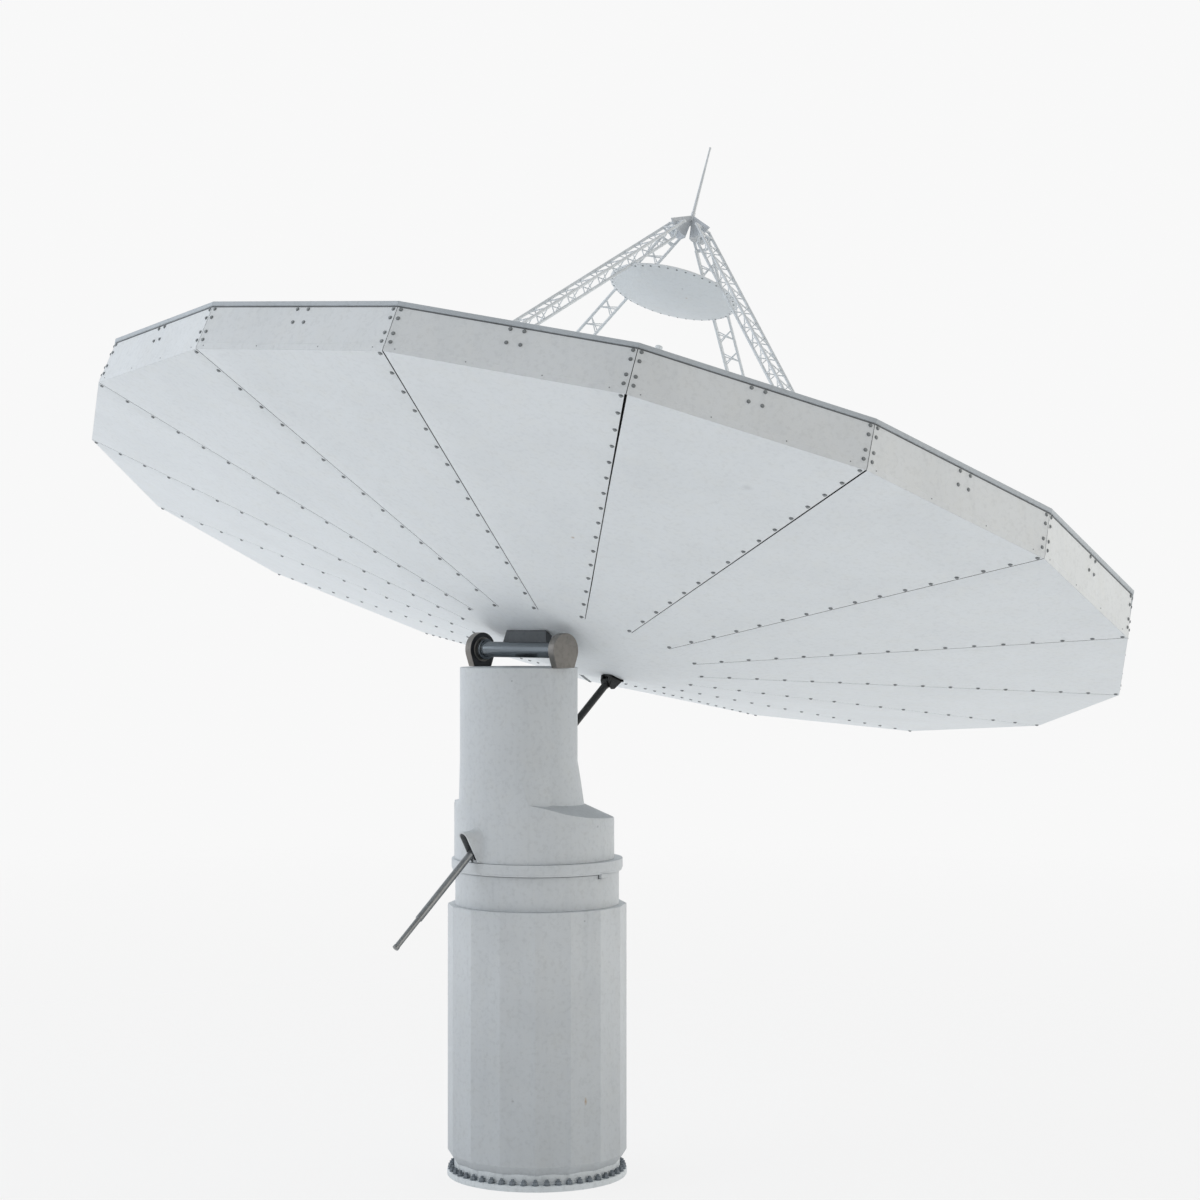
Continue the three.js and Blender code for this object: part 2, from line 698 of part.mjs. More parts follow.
/** Column: straight tube, a flare that leans forward at its foot, closed by a top plate. */
function addColumn() {
  const straight = cylinderZ(COLUMN_R, FLARE_TOP - 1, COLUMN_TOP, COLUMN_X, 0, 40);
  const height = FLARE_TOP - FLARE_BOTTOM;
  const flareGeometry = new THREE.CylinderGeometry(COLUMN_R, COLUMN_R + FLARE_GROWTH, height, 40);
  flareGeometry.rotateX(Math.PI / 2);
  const lean = -FLARE_GROWTH / height;
  const shear = new THREE.Matrix4().set(1, 0, lean, 0, 0, 1, 0, 0, 0, 0, 1, 0, 0, 0, 0, 1);
  flareGeometry.applyMatrix4(shear);
  flareGeometry.translate(COLUMN_X + FLARE_GROWTH / 2, 0, (FLARE_TOP + FLARE_BOTTOM) / 2);
  const spigot = cylinderZ(SPIGOT_R, 2400, FLARE_BOTTOM + 1, COLUMN_X - 2, 0, 32);
  const inner = cylinderZ(COLUMN_R - COLUMN_WALL, 2530, COLUMN_TOP - 20, COLUMN_X, 0, 32);
  const throat = cylinderZ(SPIGOT_R - COLUMN_WALL, 2380, 2540, COLUMN_X - 2, 0, 32);
  const frontSlot = box(120, 340, -45, 45, 2770, 3090);
  const column = union(straight, solid(flareGeometry), spigot)
    .subtract(inner)
    .subtract(throat)
    .subtract(frontSlot);
  addNode('turret_column', column, 'white_paint');
}

/** Cowl over the slot where the jack screw leaves the back of the turret shell. */
function addScrewHood() {
  const arch = (half, spring, foot) => {
    const points = [[half, foot], [half, spring]];
    for (let i = 1; i < 10; i += 1) {
      const angle = (Math.PI * i) / 10;
      points.push([half * Math.cos(angle), spring + half * Math.sin(angle)]);
    }
    points.push([-half, spring], [-half, foot]);
    return points;
  };
  const outer = prismAlongX(arch(41, 2284, 2116), -720, -480);
  const inner = prismAlongX(arch(29, 2282, 2000), -740, -460);
  const side = prismAlongY([[-682, 2400], [-682, 2312], [-569, 2116], [-480, 2116], [-480, 2400]], -80, 80);
  const wall = cylinderZ(SHELL_R + 0.6, 2000, 2500, SHELL_X, 0, 40);
  addNode('screw_hood', outer.subtract(inner).intersect(side).subtract(wall), 'white_paint');
}

function addAzimuthMotor() {
  const x = RING_PITCH_R - PINION_PITCH_R;
  const motor = union(
    box(x - 105, x + 100, -95, 95, DECK_TOP + 1, DECK_TOP + 70),
    cylinderZ(72, DECK_TOP + 60, DECK_TOP + 225, x, 0, 24),
    box(x - 100, x - 60, -35, 35, DECK_TOP + 110, DECK_TOP + 180),
  );
  addNode('azimuth_motor', motor, 'grey_paint');
}

// ---------------------------------------------------------------- azimuth drive

/** Closed outline that swings between two radii, once per tooth, with straight flanks. */
function toothOutline(teeth, tipR, rootR) {
  const points = [];
  for (let i = 0; i < 2 * teeth; i += 1) {
    const angle = (Math.PI * i) / teeth;
    const r = i % 2 === 0 ? tipR : rootR;
    points.push([r * Math.cos(angle), r * Math.sin(angle)]);
  }
  return points;
}

function addAzimuthDrive() {
  const ringBody = cylinderZ(505, 1901, 1960);
  const ringTeeth = toothOutline(RING_TEETH, RING_PITCH_R + 11, RING_PITCH_R - 8);
  const ringCut = prismAlongZ(ringTeeth, 1890, 1970);
  addNode('ring_gear', ringBody.subtract(ringCut), 'bare_steel');
  const pinionTeeth = toothOutline(PINION_TEETH, PINION_PITCH_R + 7, PINION_PITCH_R - 10);
  const x = RING_PITCH_R - PINION_PITCH_R;
  const gear = prismAlongZ(pinionTeeth, 1905, 1956).translate([x, 0, 0]);
  addNode('azimuth_pinion', union(gear, cylinderZ(30, 1950, DECK_TOP, x, 0, 24)), 'bare_steel');
}

// ---------------------------------------------------------------- pedestal

function addPedestal() {
  const base = turned([[0, 0], [BASE_R, 0], [BASE_R, BASE_THICK - 4], [BASE_R - 4, BASE_THICK],
    [0, BASE_THICK]], 48);
  addNode('base_plate', base, 'grey_paint');
  const lobes = toothOutline(NUT_COUNT, 592, 575);
  const nuts = prismAlongZ(lobes, BASE_THICK + 0.5, NUT_TOP);
  const nutBore = cylinderZ(FOOT_R + 3, 0, 200);
  addNode('anchor_nut_ring', nuts.subtract(nutBore), 'galvanised');
  const tube = turnedRing([
    [FOOT_R - 14, BASE_THICK + 1],
    [FOOT_R, BASE_THICK + 1],
    [FOOT_R, 97],
    [TUBE_R, 158],
    [TUBE_R, TUBE_TOP],
    [530, TUBE_TOP],
    [530, TUBE_TOP - 12],
    [TUBE_R - 14, TUBE_TOP - 12],
    [TUBE_R - 14, 164],
    [FOOT_R - 14, 103],
  ], SIDES);
  addNode('pedestal_tube', tube, 'white_paint');
  const neck = turnedRing([
    [524, TUBE_TOP + 1],
    [NECK_R, TUBE_TOP + 1],
    [NECK_R, NECK_TOP],
    [524, NECK_TOP],
    [524, 1900],
    [405, 1900],
    [405, 1880],
    [524, 1880],
  ]);
  addNode('bearing_neck', neck, 'white_paint');
}

addPedestal();
addTurntable();
addTurretShell();
addColumn();
addScrewHood();
addEars();
addAzimuthMotor();
addAzimuthDrive();
addPetalsAndRim();
addHub();
addFeed();
addSubReflector();
addLegs();
addApex();
addDishBracket();
addElevationShaft();
addClevis();
addJackScrew();
addJackGearbox();

export default group;
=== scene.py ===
"""Looks of the steerable earth-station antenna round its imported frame. Metres, +Z up, dish pointing to +X."""
import math
import random

import bmesh
import bpy
from mathutils import Matrix, Vector, noise


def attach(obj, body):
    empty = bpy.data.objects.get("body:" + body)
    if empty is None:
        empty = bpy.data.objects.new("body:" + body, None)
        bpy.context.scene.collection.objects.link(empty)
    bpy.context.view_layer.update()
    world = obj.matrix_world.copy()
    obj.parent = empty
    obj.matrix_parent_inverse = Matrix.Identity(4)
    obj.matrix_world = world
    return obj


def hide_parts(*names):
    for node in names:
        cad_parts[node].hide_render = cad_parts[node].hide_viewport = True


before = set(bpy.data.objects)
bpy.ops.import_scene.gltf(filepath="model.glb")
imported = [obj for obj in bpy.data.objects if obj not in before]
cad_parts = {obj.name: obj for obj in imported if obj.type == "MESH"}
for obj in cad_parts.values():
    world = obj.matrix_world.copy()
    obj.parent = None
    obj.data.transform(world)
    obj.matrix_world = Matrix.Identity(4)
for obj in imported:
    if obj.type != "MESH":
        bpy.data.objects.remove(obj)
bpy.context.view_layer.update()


def add_object(name, data):
    """Makes an object and links it to the scene."""
    obj = bpy.data.objects.new(name, data)
    bpy.context.scene.collection.objects.link(obj)
    return obj


# ---- camera
HEADING = math.radians(45.24)
AWAY = Vector((math.sin(HEADING), math.cos(HEADING), 0.0))
PITCH = math.radians(0.28)
EYE = (-11.719, -12.215, 3.756)
SENSOR_MM, LENS_MM = 36.0, 75.585
camera_data = bpy.data.cameras.new("camera")
camera_data.sensor_width = SENSOR_MM
camera_data.lens = LENS_MM
camera_data.clip_start = 0.1
camera_data.clip_end = 300.0
camera = add_object("camera", camera_data)
camera.location = EYE
look = AWAY * math.cos(PITCH) + Vector((0, 0, math.sin(PITCH)))
camera.rotation_mode = "QUATERNION"
camera.rotation_quaternion = look.to_track_quat("-Z", "Y")
bpy.context.scene.camera = camera
bpy.context.scene.view_settings.view_transform = "Standard"

# ---- dimensions, in metres
PETALS = 16
SECTOR = 2 * math.pi / PETALS
COS_HALF, TAN_HALF = math.cos(SECTOR / 2), math.tan(SECTOR / 2)
# The dish frame: origin at the rim's centre, z along the dish axis, which leans 20 degrees off the vertical
TILT = Matrix.Translation((0.624, 0, 4.071)) @ Matrix.Rotation(math.radians(20), 4, "Y")
RIM_R, HUB_R, HUB_T, HUB_FLAT_R = 3.650, 0.821, -0.595, 0.400
SKIRT_TOP_R, SKIRT_HEIGHT = 3.6215, 0.288
BOWL_R, BOWL_T, BOWL_VERTEX = 3.594, 0.290, -0.511
# Pivots in the plane y = 0: elevation shaft, jack pin under the hub, trunnions of the jack nut
SHAFT = Vector((-0.150, 0, 3.506))
PIN = Vector((0.672, 0, 3.271))
TRUNNION = Vector((-0.420, 0, 2.332))
COLUMN_TOP = 3.391
# Lattice legs in the dish frame; a corner is outwards from the leg's line and across it
LEG_FOOT_R, LEG_TOP = 2.490, (0.102, 0, 2.560)
LEG_CORNERS = [(0.028, -0.069), (0.028, 0.069), (-0.055, 0.0)]
LEGS = 4
# Half widths of the petal seams at the rim: most are tight, three have opened
SEAM_HALF_GAP, SEAM_HALF_GAPS = 0.0027, {10: 0.0085, 11: 0.0055, 9: 0.0042}
HUB_HALF_GAP = 0.0022


def back_t(r):
    """Height of the dish's back along the dish axis at radius r from it."""
    return HUB_T * (RIM_R - r) / (RIM_R - HUB_R)


def bowl_t(r):
    """Height of the bowl's surface along the dish axis at radius r from it."""
    return BOWL_VERTEX + (BOWL_T - BOWL_VERTEX) * (r / BOWL_R) ** 2


# ---- materials
def feed(tree, socket, value):
    """Links a node's output to an input socket, or sets the socket to a value."""
    if hasattr(value, "links"):
        tree.links.new(value, socket)
    else:
        socket.default_value = value


def node(tree, kind, *values, **settings):
    """Adds a shader node: values go to its inputs in order, settings to inputs or properties by name."""
    n = tree.nodes.new(kind)
    for key, value in settings.items():
        if key in n.inputs:
            feed(tree, n.inputs[key], value)
        else:
            setattr(n, key, value)
    for socket, value in zip(n.inputs, values):
        feed(tree, socket, value)
    return n


def noise_node(tree, vector, scale, detail=3.0, rough=0.55):
    return node(tree, "ShaderNodeTexNoise", vector, Scale=scale, Detail=detail,
                Roughness=rough).outputs["Fac"]


def remap(tree, value, lo, hi, out_lo, out_hi):
    """Maps a socket's range lo..hi to out_lo..out_hi, clamped."""
    return node(tree, "ShaderNodeMapRange", value, lo, hi, out_lo, out_hi).outputs[0]


def tint(tree, colour, factor, blend, other):
    """Mixes colour with other by the socket factor."""
    n = node(tree, "ShaderNodeMix", data_type="RGBA", blend_type=blend)
    for index, value in ((0, factor), (6, colour), (7, other)):
        feed(tree, n.inputs[index], value)
    return n.outputs[2]


def mark(tree, colour, place, centre, radius, paint, strength, drop=1.0):
    """A soft round stain at centre, made ragged by noise; drop stretches it downwards."""
    shift = node(tree, "ShaderNodeVectorMath", place, centre, operation="SUBTRACT").outputs[0]
    scaled = node(tree, "ShaderNodeVectorMath", shift, (1, 1, 1 / drop), operation="MULTIPLY").outputs[0]
    length = node(tree, "ShaderNodeVectorMath", scaled, operation="LENGTH").outputs["Value"]
    ragged = noise_node(tree, place, 1.3 / radius, 3.0, 0.7)
    distance = node(tree, "ShaderNodeMath", ragged, radius * 0.9, length,
                    operation="MULTIPLY_ADD").outputs[0]
    fade = remap(tree, distance, radius * 0.5, radius * 1.4, strength, 0)
    return tint(tree, colour, fade, "MIX", paint + (1,))


def surface(name, colour, rough=(0.5, 0.65), metallic=0.0, mottling=0.1, speckle=0.1, streaks=0.0,
            grain=0.12, marks=(), stretch=(1, 1, 1), specular=0.4, ground_shade=None):
    """Procedural finish: cloudy mottling, speckle, run-down streaks, painted shade that darkens it towards the
    ground, and local marks.

    The last argument is the height that this painted shade reaches and its tone at the ground.
    """
    material = bpy.data.materials.new(name)
    material.use_nodes = True
    tree = material.node_tree
    place = node(tree, "ShaderNodeTexCoord").outputs["Object"]
    vector = node(tree, "ShaderNodeMapping", place, Scale=stretch).outputs["Vector"]
    cloud = noise_node(tree, vector, 1.7, 5.0, 0.6)
    patch = noise_node(tree, vector, 7.5, 4.0, 0.62)
    fine = noise_node(tree, vector, 34.0, 3.0, 0.6)
    dark = tuple(c * (1 - mottling * 2.2) for c in colour) + (1,)
    warm = (colour[0], colour[1] * 0.985, colour[2] * 0.955, 1)
    shade = (1 - speckle * 1.6,) * 3 + (1,)
    out = tint(tree, colour + (1,), remap(tree, cloud, 0.42, 0.72, 0, 1), "MIX", dark)
    out = tint(tree, out, remap(tree, patch, 0.45, 0.75, 0, 0.5), "MIX", warm)
    out = tint(tree, out, remap(tree, fine, 0.5, 0.68, 0, 1), "MULTIPLY", shade)
    if streaks:
        run = node(tree, "ShaderNodeMapping", place, Scale=(9, 9, 0.55)).outputs["Vector"]
        lines = noise_node(tree, run, 1.6, 5.0, 0.7)
        run_tone = tuple(1 - streaks * k for k in (1.9, 1.75, 1.6)) + (1,)
        out = tint(tree, out, remap(tree, lines, 0.52, 0.8, 0, 1), "MULTIPLY", run_tone)
    # Painted shade: the colour darkens towards the ground, standing in for weak light from below
    if ground_shade:
        reach, tone = ground_shade
        height = node(tree, "ShaderNodeSeparateXYZ", place).outputs["Z"]
        out = tint(tree, out, remap(tree, height, 0.0, reach, 1, 0), "MULTIPLY", tone + (1,))
    for spot in marks:
        out = mark(tree, out, place, *spot)
    shader = tree.nodes["Principled BSDF"].inputs
    feed(tree, shader["Base Color"], out)
    feed(tree, shader["Roughness"], remap(tree, patch, 0.3, 0.7, *rough))
    shader["Metallic"].default_value = metallic
    shader["Specular IOR Level"].default_value = specular
    pores = noise_node(tree, vector, 140.0, 2.0, 0.5)
    bump = node(tree, "ShaderNodeBump", Height=pores, Strength=grain, Distance=0.002)
    feed(tree, shader["Normal"], bump.outputs["Normal"])
    return material


RUST = (0.34, 0.20, 0.06)
GRIME = (0.22, 0.23, 0.25)
# Local stains: centre, radius, colour, strength, downward stretch
POST_MARKS = [((0.0435, -0.5306, 2.3464), 0.009, GRIME, 0.85),
              ((-0.1235, -0.5769, 1.7431), 0.009, GRIME, 0.8),
              ((-0.4706, -0.2516, 3.3085), 0.008, GRIME, 0.8),
              ((-0.5077, -0.3006, 0.5846), 0.011, GRIME, 0.6),
              ((-0.1158, -0.5785, 0.5686), 0.013, RUST, 0.75, 2.6)]
DISH_MARKS = [((-0.8543, -1.2062, 4.2121), 0.017, RUST, 0.7),
              ((-0.8427, -2.6180, 4.4647), 0.040, GRIME, 0.22),
              ((-2.3469, -1.2920, 5.0958), 0.040, GRIME, 0.20)]
REFLECTOR_MARKS = [((1.2079, -0.2085, 6.0208), 0.009, GRIME, 0.6),
                   ((1.3151, -0.1473, 5.9706), 0.012, RUST, 0.5)]
WHITE = (0.805, 0.845, 0.872)
paint_dish = surface("white_dish_paint", WHITE, mottling=0.02, speckle=0.03, streaks=0.02, marks=DISH_MARKS)
paint_rim = surface("white_rim_paint", (0.780, 0.812, 0.830), mottling=0.03, speckle=0.04, streaks=0.03)
# The lip gets a darker grey than the skirt: painted shade for its shaded lower side
lip_shade_paint = surface("lip_band_painted_shade", (0.52, 0.565, 0.60), mottling=0.04, speckle=0.05)
paint_sub = surface("white_reflector_paint", (0.770, 0.800, 0.825), mottling=0.02, speckle=0.03,
                    marks=REFLECTOR_MARKS)
# Near-black paint for the seam gaps: painted shade
seam_painted_shade = surface("seam_gap_painted_shade", (0.030, 0.032, 0.035), rough=(0.7, 0.85))
# The pedestal paint darkens towards its foot, up to 1.5 m: painted shade
paint_post = surface("white_pedestal_paint", (0.625, 0.655, 0.675), mottling=0.03, speckle=0.05,
                     streaks=0.03, grain=0.2, ground_shade=(1.5, (0.80, 0.81, 0.82)), marks=POST_MARKS)
# Darker paint for the ledge's upward faces: painted shade from the dish overhead
ledge_shade_paint = surface("ledge_top_painted_shade", (0.46, 0.485, 0.505), mottling=0.05, speckle=0.06, grain=0.2)
# Near-black paint for the ears' inner faces and behind the stop tab: painted shade
dark_painted_shade = surface("near_black_painted_shade", (0.045, 0.048, 0.052), rough=(0.3, 0.45), metallic=0.3, mottling=0.15)
# Dark grey for the strip under the lip and the cowl's mouth: painted shadow
shadow_grey = surface("rim_joint_grime", (0.17, 0.18, 0.19), rough=(0.6, 0.8))
gusset_paint = surface("gusset_aluminium", (0.60, 0.635, 0.67), rough=(0.45, 0.6), metallic=0.2,
                       mottling=0.05, speckle=0.06)
paint_grey = surface("grey_base_paint", (0.70, 0.745, 0.77), mottling=0.06, speckle=0.07, grain=0.2)
zinc = surface("zinc_fasteners", (0.30, 0.32, 0.33), rough=(0.4, 0.6), metallic=0.55)
nut_zinc = surface("weathered_nuts", (0.22, 0.25, 0.28), rough=(0.45, 0.65), metallic=0.4, speckle=0.12)
lattice = surface("lattice_aluminium", (0.74, 0.775, 0.80), rough=(0.45, 0.6), metallic=0.25, mottling=0.05,
                  speckle=0.06)
ear_paint = surface("dark_bearing_paint", (0.25, 0.238, 0.222), rough=(0.28, 0.38), metallic=0.8,
                    mottling=0.12, specular=0.6)
bracket_paint = surface("dark_bracket_paint", (0.080, 0.090, 0.098), rough=(0.42, 0.55), metallic=0.2,
                        mottling=0.12)
black_paint = surface("black_jack_paint", (0.022, 0.024, 0.025), rough=(0.4, 0.55), metallic=0.1,
                      mottling=0.15, speckle=0.15)
shaft_steel = surface("turned_shaft_steel", (0.19, 0.215, 0.235), rough=(0.20, 0.27), metallic=0.8,
                      mottling=0.08, speckle=0.06, stretch=(1, 0.15, 1), specular=0.6, grain=0.05)
rod_steel = surface("jack_rod_steel", (0.27, 0.28, 0.285), rough=(0.22, 0.34), metallic=0.85, specular=0.6,
                    grain=0.06)


# ---- mesh helpers
# Body and metal of the larger groups of pieces
WHITE_DISH, GREY_DISH = ("dish", "white_aluminium"), ("dish", "grey_aluminium")
BLACK_DISH, BLACK_SCREW = ("dish", "black_steel"), ("jack_screw", "black_steel")
WHITE_TURRET, WHITE_POST = ("turret", "white_steel"), ("pedestal", "white_steel")


def piece(name, verts, faces, material, body, slot, replaces=(), matrix=None, sharp=32, bevel=0.0):
    """A named mesh that rides on a body; matrix places it first."""
    mesh = bpy.data.meshes.new(name)
    points = [matrix @ Vector(v) for v in verts] if matrix is not None else verts
    mesh.from_pydata([tuple(p) for p in points], [], faces)
    mesh.validate()
    mesh.polygons.foreach_set("use_smooth", [True] * len(mesh.polygons))
    mesh.set_sharp_from_angle(angle=math.radians(sharp))
    mesh.materials.append(material)
    bm = bmesh.new()
    bm.from_mesh(mesh)
    bmesh.ops.recalc_face_normals(bm, faces=bm.faces)
    bm.to_mesh(mesh)
    bm.free()
    obj = add_object(name, mesh)
    if bevel:
        rounding = obj.modifiers.new("edge_rounding", "BEVEL")
        rounding.width = bevel
        rounding.segments = 2
        rounding.limit_method = "ANGLE"
        rounding.angle_limit = math.radians(sharp)
        rounding.harden_normals = True
    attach(obj, body)
    if replaces:
        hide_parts(*replaces)
    return obj


def polar(radius, angle, z):
    return Vector((radius * math.cos(angle), radius * math.sin(angle), z))


def polygon(radius, z, sides, twist=0.0):
    """Corners of a level regular polygon about the origin."""
    return [polar(radius, 2 * math.pi * k / sides + twist, z) for k in range(sides)]


class Soup:
    """Collects many closed shapes into one mesh."""

    def __init__(self):
        self.verts = []
        self.faces = []

    def add(self, verts, faces):
        base = len(self.verts)
        self.verts.extend(verts)
        self.faces.extend([tuple(i + base for i in f) for f in faces])

    def loft(self, rings):
        """Closed skin over rings of equal length, with flat ends."""
        n = len(rings[0])
        verts = [p for ring in rings for p in ring]
        faces = [tuple(range(n - 1, -1, -1)), tuple(range((len(rings) - 1) * n, len(rings) * n))]
        for i in range(len(rings) - 1):
            for k in range(n):
                a, b = i * n + k, i * n + (k + 1) % n
                faces.append((a, b, b + n, a + n))
        self.add(verts, faces)

    def stand(self, centre, turn, rings):
        """Loft over rings that are first turned and then moved to centre."""
        self.loft([[centre + turn @ p for p in ring] for ring in rings])

    def rod(self, p, q, r, sides):
        """Round bar from p to q."""
        p, q = Vector(p), Vector(q)
        turn = (q - p).to_track_quat("Z", "Y").to_matrix()
        self.loft([[end + turn @ v for v in polygon(r, 0, sides)] for end in (p, q)])

    def bolt(self, centre, normal, r, height, spin=0.0):
        """Hexagon head with a chamfered top on a round washer, sunk a little into the sheet."""
        turn = Vector(normal).to_track_quat("Z", "Y").to_matrix()
        washer = ((r * 1.42, -0.002), (r * 1.42, 0.0016), (r * 1.3, 0.0026))
        head = ((r, 0.001), (r, height * 0.86), (r * 0.86, height))
        self.stand(Vector(centre), turn, [polygon(radius, z, 14) for radius, z in washer])
        self.stand(Vector(centre), turn, [polygon(radius, z, 6, spin) for radius, z in head])

    def rivet(self, centre, normal, r):
        """Low domed head."""
        turn = Vector(normal).to_track_quat("Z", "Y").to_matrix()
        dome = ((r, -0.001), (r, 0.0005), (r * 0.8, 0.002), (r * 0.35, 0.003))
        self.stand(Vector(centre), turn, [polygon(radius, z, 8) for radius, z in dome])

    def block(self, low, high, turn):
        """Box between two corners, turned about the origin."""
        section = ((low[1], low[2]), (high[1], low[2]), (high[1], high[2]), (low[1], high[2]))
        self.loft([[turn @ Vector((x, y, z)) for y, z in section] for x in (low[0], high[0])])

    def make(self, name, material, body, slot, **more):
        return piece(name, self.verts, self.faces, material, body, slot, **more)


def lathe(profile, sides=96):
    """Closed turned mesh from [radius, z] points; a profile that doesn't touch the axis closes on itself."""
    verts, faces = [], []
    touching = profile[0][0] == 0 and profile[-1][0] == 0
    inner = profile[1:-1] if touching else profile
    n = len(inner)
    for k in range(sides):
        a = 2 * math.pi * k / sides
        verts.extend(polar(r, a, z) for r, z in inner)
    for k in range(sides):
        j = (k + 1) % sides
        for i in range(n - 1 if touching else n):
            h = (i + 1) % n
            faces.append((k * n + i, j * n + i, j * n + h, k * n + h))
    if touching:
        for end, z in ((0, profile[0][1]), (n - 1, profile[-1][1])):
            faces.append(tuple(k * n + end for k in range(sides)))
    return verts, faces


def round_corners(points, radius, steps, closed):
    """Rounds the corners of a profile by short arcs; end points stay when it isn't closed."""
    out = []
    count = len(points)
    for i, p in enumerate(points):
        p = Vector(p)
        if not closed and i in (0, count - 1):
            out.append(tuple(p))
            continue
        a, b = Vector(points[i - 1]), Vector(points[(i + 1) % count])
        cut = min(radius, (a - p).length * 0.45, (b - p).length * 0.45)
        start, end = p + (a - p).normalized() * cut, p + (b - p).normalized() * cut
        for s in range(steps + 1):
            f = s / steps
            out.append(tuple((1 - f) ** 2 * start + 2 * f * (1 - f) * p + f * f * end))
    return out


def turned(name, profile, material, body, slot, replaces=(), sides=96, matrix=None, radius=0.004):
    """Turned piece with rounded corners."""
    closed = profile[0][0] != 0
    verts, faces = lathe(round_corners(profile, radius, 3, closed), sides)
    return piece(name, verts, faces, material, body, slot, replaces, matrix)


def prism_y(name, outline, y0, y1, material, body, slot, replaces=(), bevel=0.004):
    """Plate with an outline of [x, z] points between y0 and y1."""
    n = len(outline)
    verts = [Vector((x, y, z)) for y in (y0, y1) for x, z in outline]
    faces = [tuple(range(n)), tuple(range(2 * n - 1, n - 1, -1))]
    faces += [(k, k + n, (k + 1) % n + n, (k + 1) % n) for k in range(n)]
    return piece(name, verts, faces, material, body, slot, replaces, bevel=bevel)


# ---- dish
def at_sector(k, a, y, t):
    """Point in the dish frame: a along the middle of sector k, y across it, t along the dish axis."""
    angle = (k + 0.5) * SECTOR
    return Vector((a * math.cos(angle) - y * math.sin(angle), a * math.sin(angle) + y * math.cos(angle), t))


def half_gap(seam, r):
    """Half the width of a petal seam at radius r."""
    wide = SEAM_HALF_GAPS.get(seam % PETALS, SEAM_HALF_GAP)
    return HUB_HALF_GAP + (wide - HUB_HALF_GAP) * max(0.0, (r - HUB_R) / (RIM_R - HUB_R))


def make_petal(k):
    """Hollow wedge between two seams; its long edges are turned in a little, and its sides get near-black
    paint, painted shade inside the seam gaps.
    """
    steps, across = 18, 8
    fold, dip, sag, ripple = 0.004, 0.0012, 0.003, 0.0035
    inner, outer = HUB_R + 0.0005, (3.6475, 3.6000)
    shares = [0.0] + [j / across for j in range(across + 1)] + [1.0]
    wide = len(shares)
    verts, faces, dark = [], [], []
    for layer in range(2):
        for i in range(steps + 1):
            r = inner + (outer[layer] - inner) * i / steps
            a = r * COS_HALF
            low = -(a * TAN_HALF - half_gap(k, r) / COS_HALF)
            high = a * TAN_HALF - half_gap(k + 1, r) / COS_HALF
            for j, share in enumerate(shares):
                y = low + (high - low) * share
                if j == 1:
                    y = low + fold
                if j == wide - 2:
                    y = high - fold
                edge = dip if j in (0, wide - 1) else 0.0
                bulge = math.sin(math.pi * share) * math.sin(math.pi * i / steps)
                wave = noise.noise(Vector((k * 7.3 + r * 1.1, y * 1.6, 3.1))) * ripple
                if layer == 0:
                    t = back_t(r) - sag * bulge + wave * bulge + edge
                else:
                    t = bowl_t(r) + wave * 0.4 * bulge - edge
                verts.append(at_sector(k, a, y, t))
    size = (steps + 1) * wide
    for i in range(steps):
        for j in range(wide - 1):
            p = i * wide + j
            faces.append((p, p + 1, p + wide + 1, p + wide))
            faces.append((size + p + wide, size + p + wide + 1, size + p + 1, size + p))
        for j in (0, wide - 1):
            p = i * wide + j
            dark.append(len(faces))
            faces.append((p, p + wide, size + p + wide, size + p))
    for j in range(wide - 1):
        faces.append((j + 1, j, size + j, size + j + 1))
        p = steps * wide + j
        faces.append((p, p + 1, size + p + 1, size + p))
    skin = piece(f"petal_skin_{k + 1:02d}", verts, faces, paint_dish, *WHITE_DISH,
                 (f"petal_{k + 1:02d}",), TILT, sharp=35)
    # Painted shade: the side faces in the seam gaps get the near-black paint
    skin.data.materials.append(seam_painted_shade)
    for i in dark:
        skin.data.polygons[i].material_index = 1


def sector_strip(k, profile, gap):
    """Closed mesh of a cross-section of [r, t] points carried straight across sector k."""
    cuts = 6
    rings = []
    for c in range(cuts + 1):
        ring = []
        for r, t in profile:
            a = r * COS_HALF
            half = a * TAN_HALF - gap
            ring.append(at_sector(k, a, -half + 2 * half * c / cuts, t))
        rings.append(ring)
    soup = Soup()
    soup.loft(rings)
    return soup


def make_rim_panel(k):
    """Folded skirt sheet with a hem near its foot, the lip angle over it, and a dark grey strip between them
    that is painted shadow under the lip.
    """
    skirt = [(3.6500, 0.0), (3.6492, 0.038), (3.6480, 0.0400), (3.6462, 0.0430), (3.6215, 0.2840),
             (3.6190, 0.2875), (3.6060, 0.2875), (3.6060, 0.2840), (3.6170, 0.2830), (3.6175, 0.280),
             (3.6422, 0.043), (3.6440, 0.038), (3.6450, 0.0010)]
    sector_strip(k, skirt, 0.0022).make(f"rim_skirt_{k + 1:02d}", paint_rim, *WHITE_DISH, matrix=TILT,
                                        replaces=(f"rim_panel_{k + 1:02d}",), sharp=24)
    # Painted shade: the lip takes the darker lip paint
    lip = round_corners([(3.6292, 0.2900), (3.6312, 0.3190), (3.5985, 0.3190), (3.5985, 0.2880),
                         (3.6020, 0.2880), (3.6030, 0.2900)], 0.008, 4, True)
    sector_strip(k, lip, 0.0004).make(f"rim_lip_{k + 1:02d}", lip_shade_paint, *WHITE_DISH, matrix=TILT, sharp=50)
    # Painted shadow: a dark grey strip just under the lip stands in for the shadow that the lip casts
    shadow_backing = [(3.6226, 0.2815), (3.6222, 0.2895), (3.6180, 0.2895), (3.6180, 0.2815)]
    sector_strip(k, shadow_backing, 0.0004).make(f"rim_joint_{k + 1:02d}", shadow_grey, *WHITE_DISH, matrix=TILT)


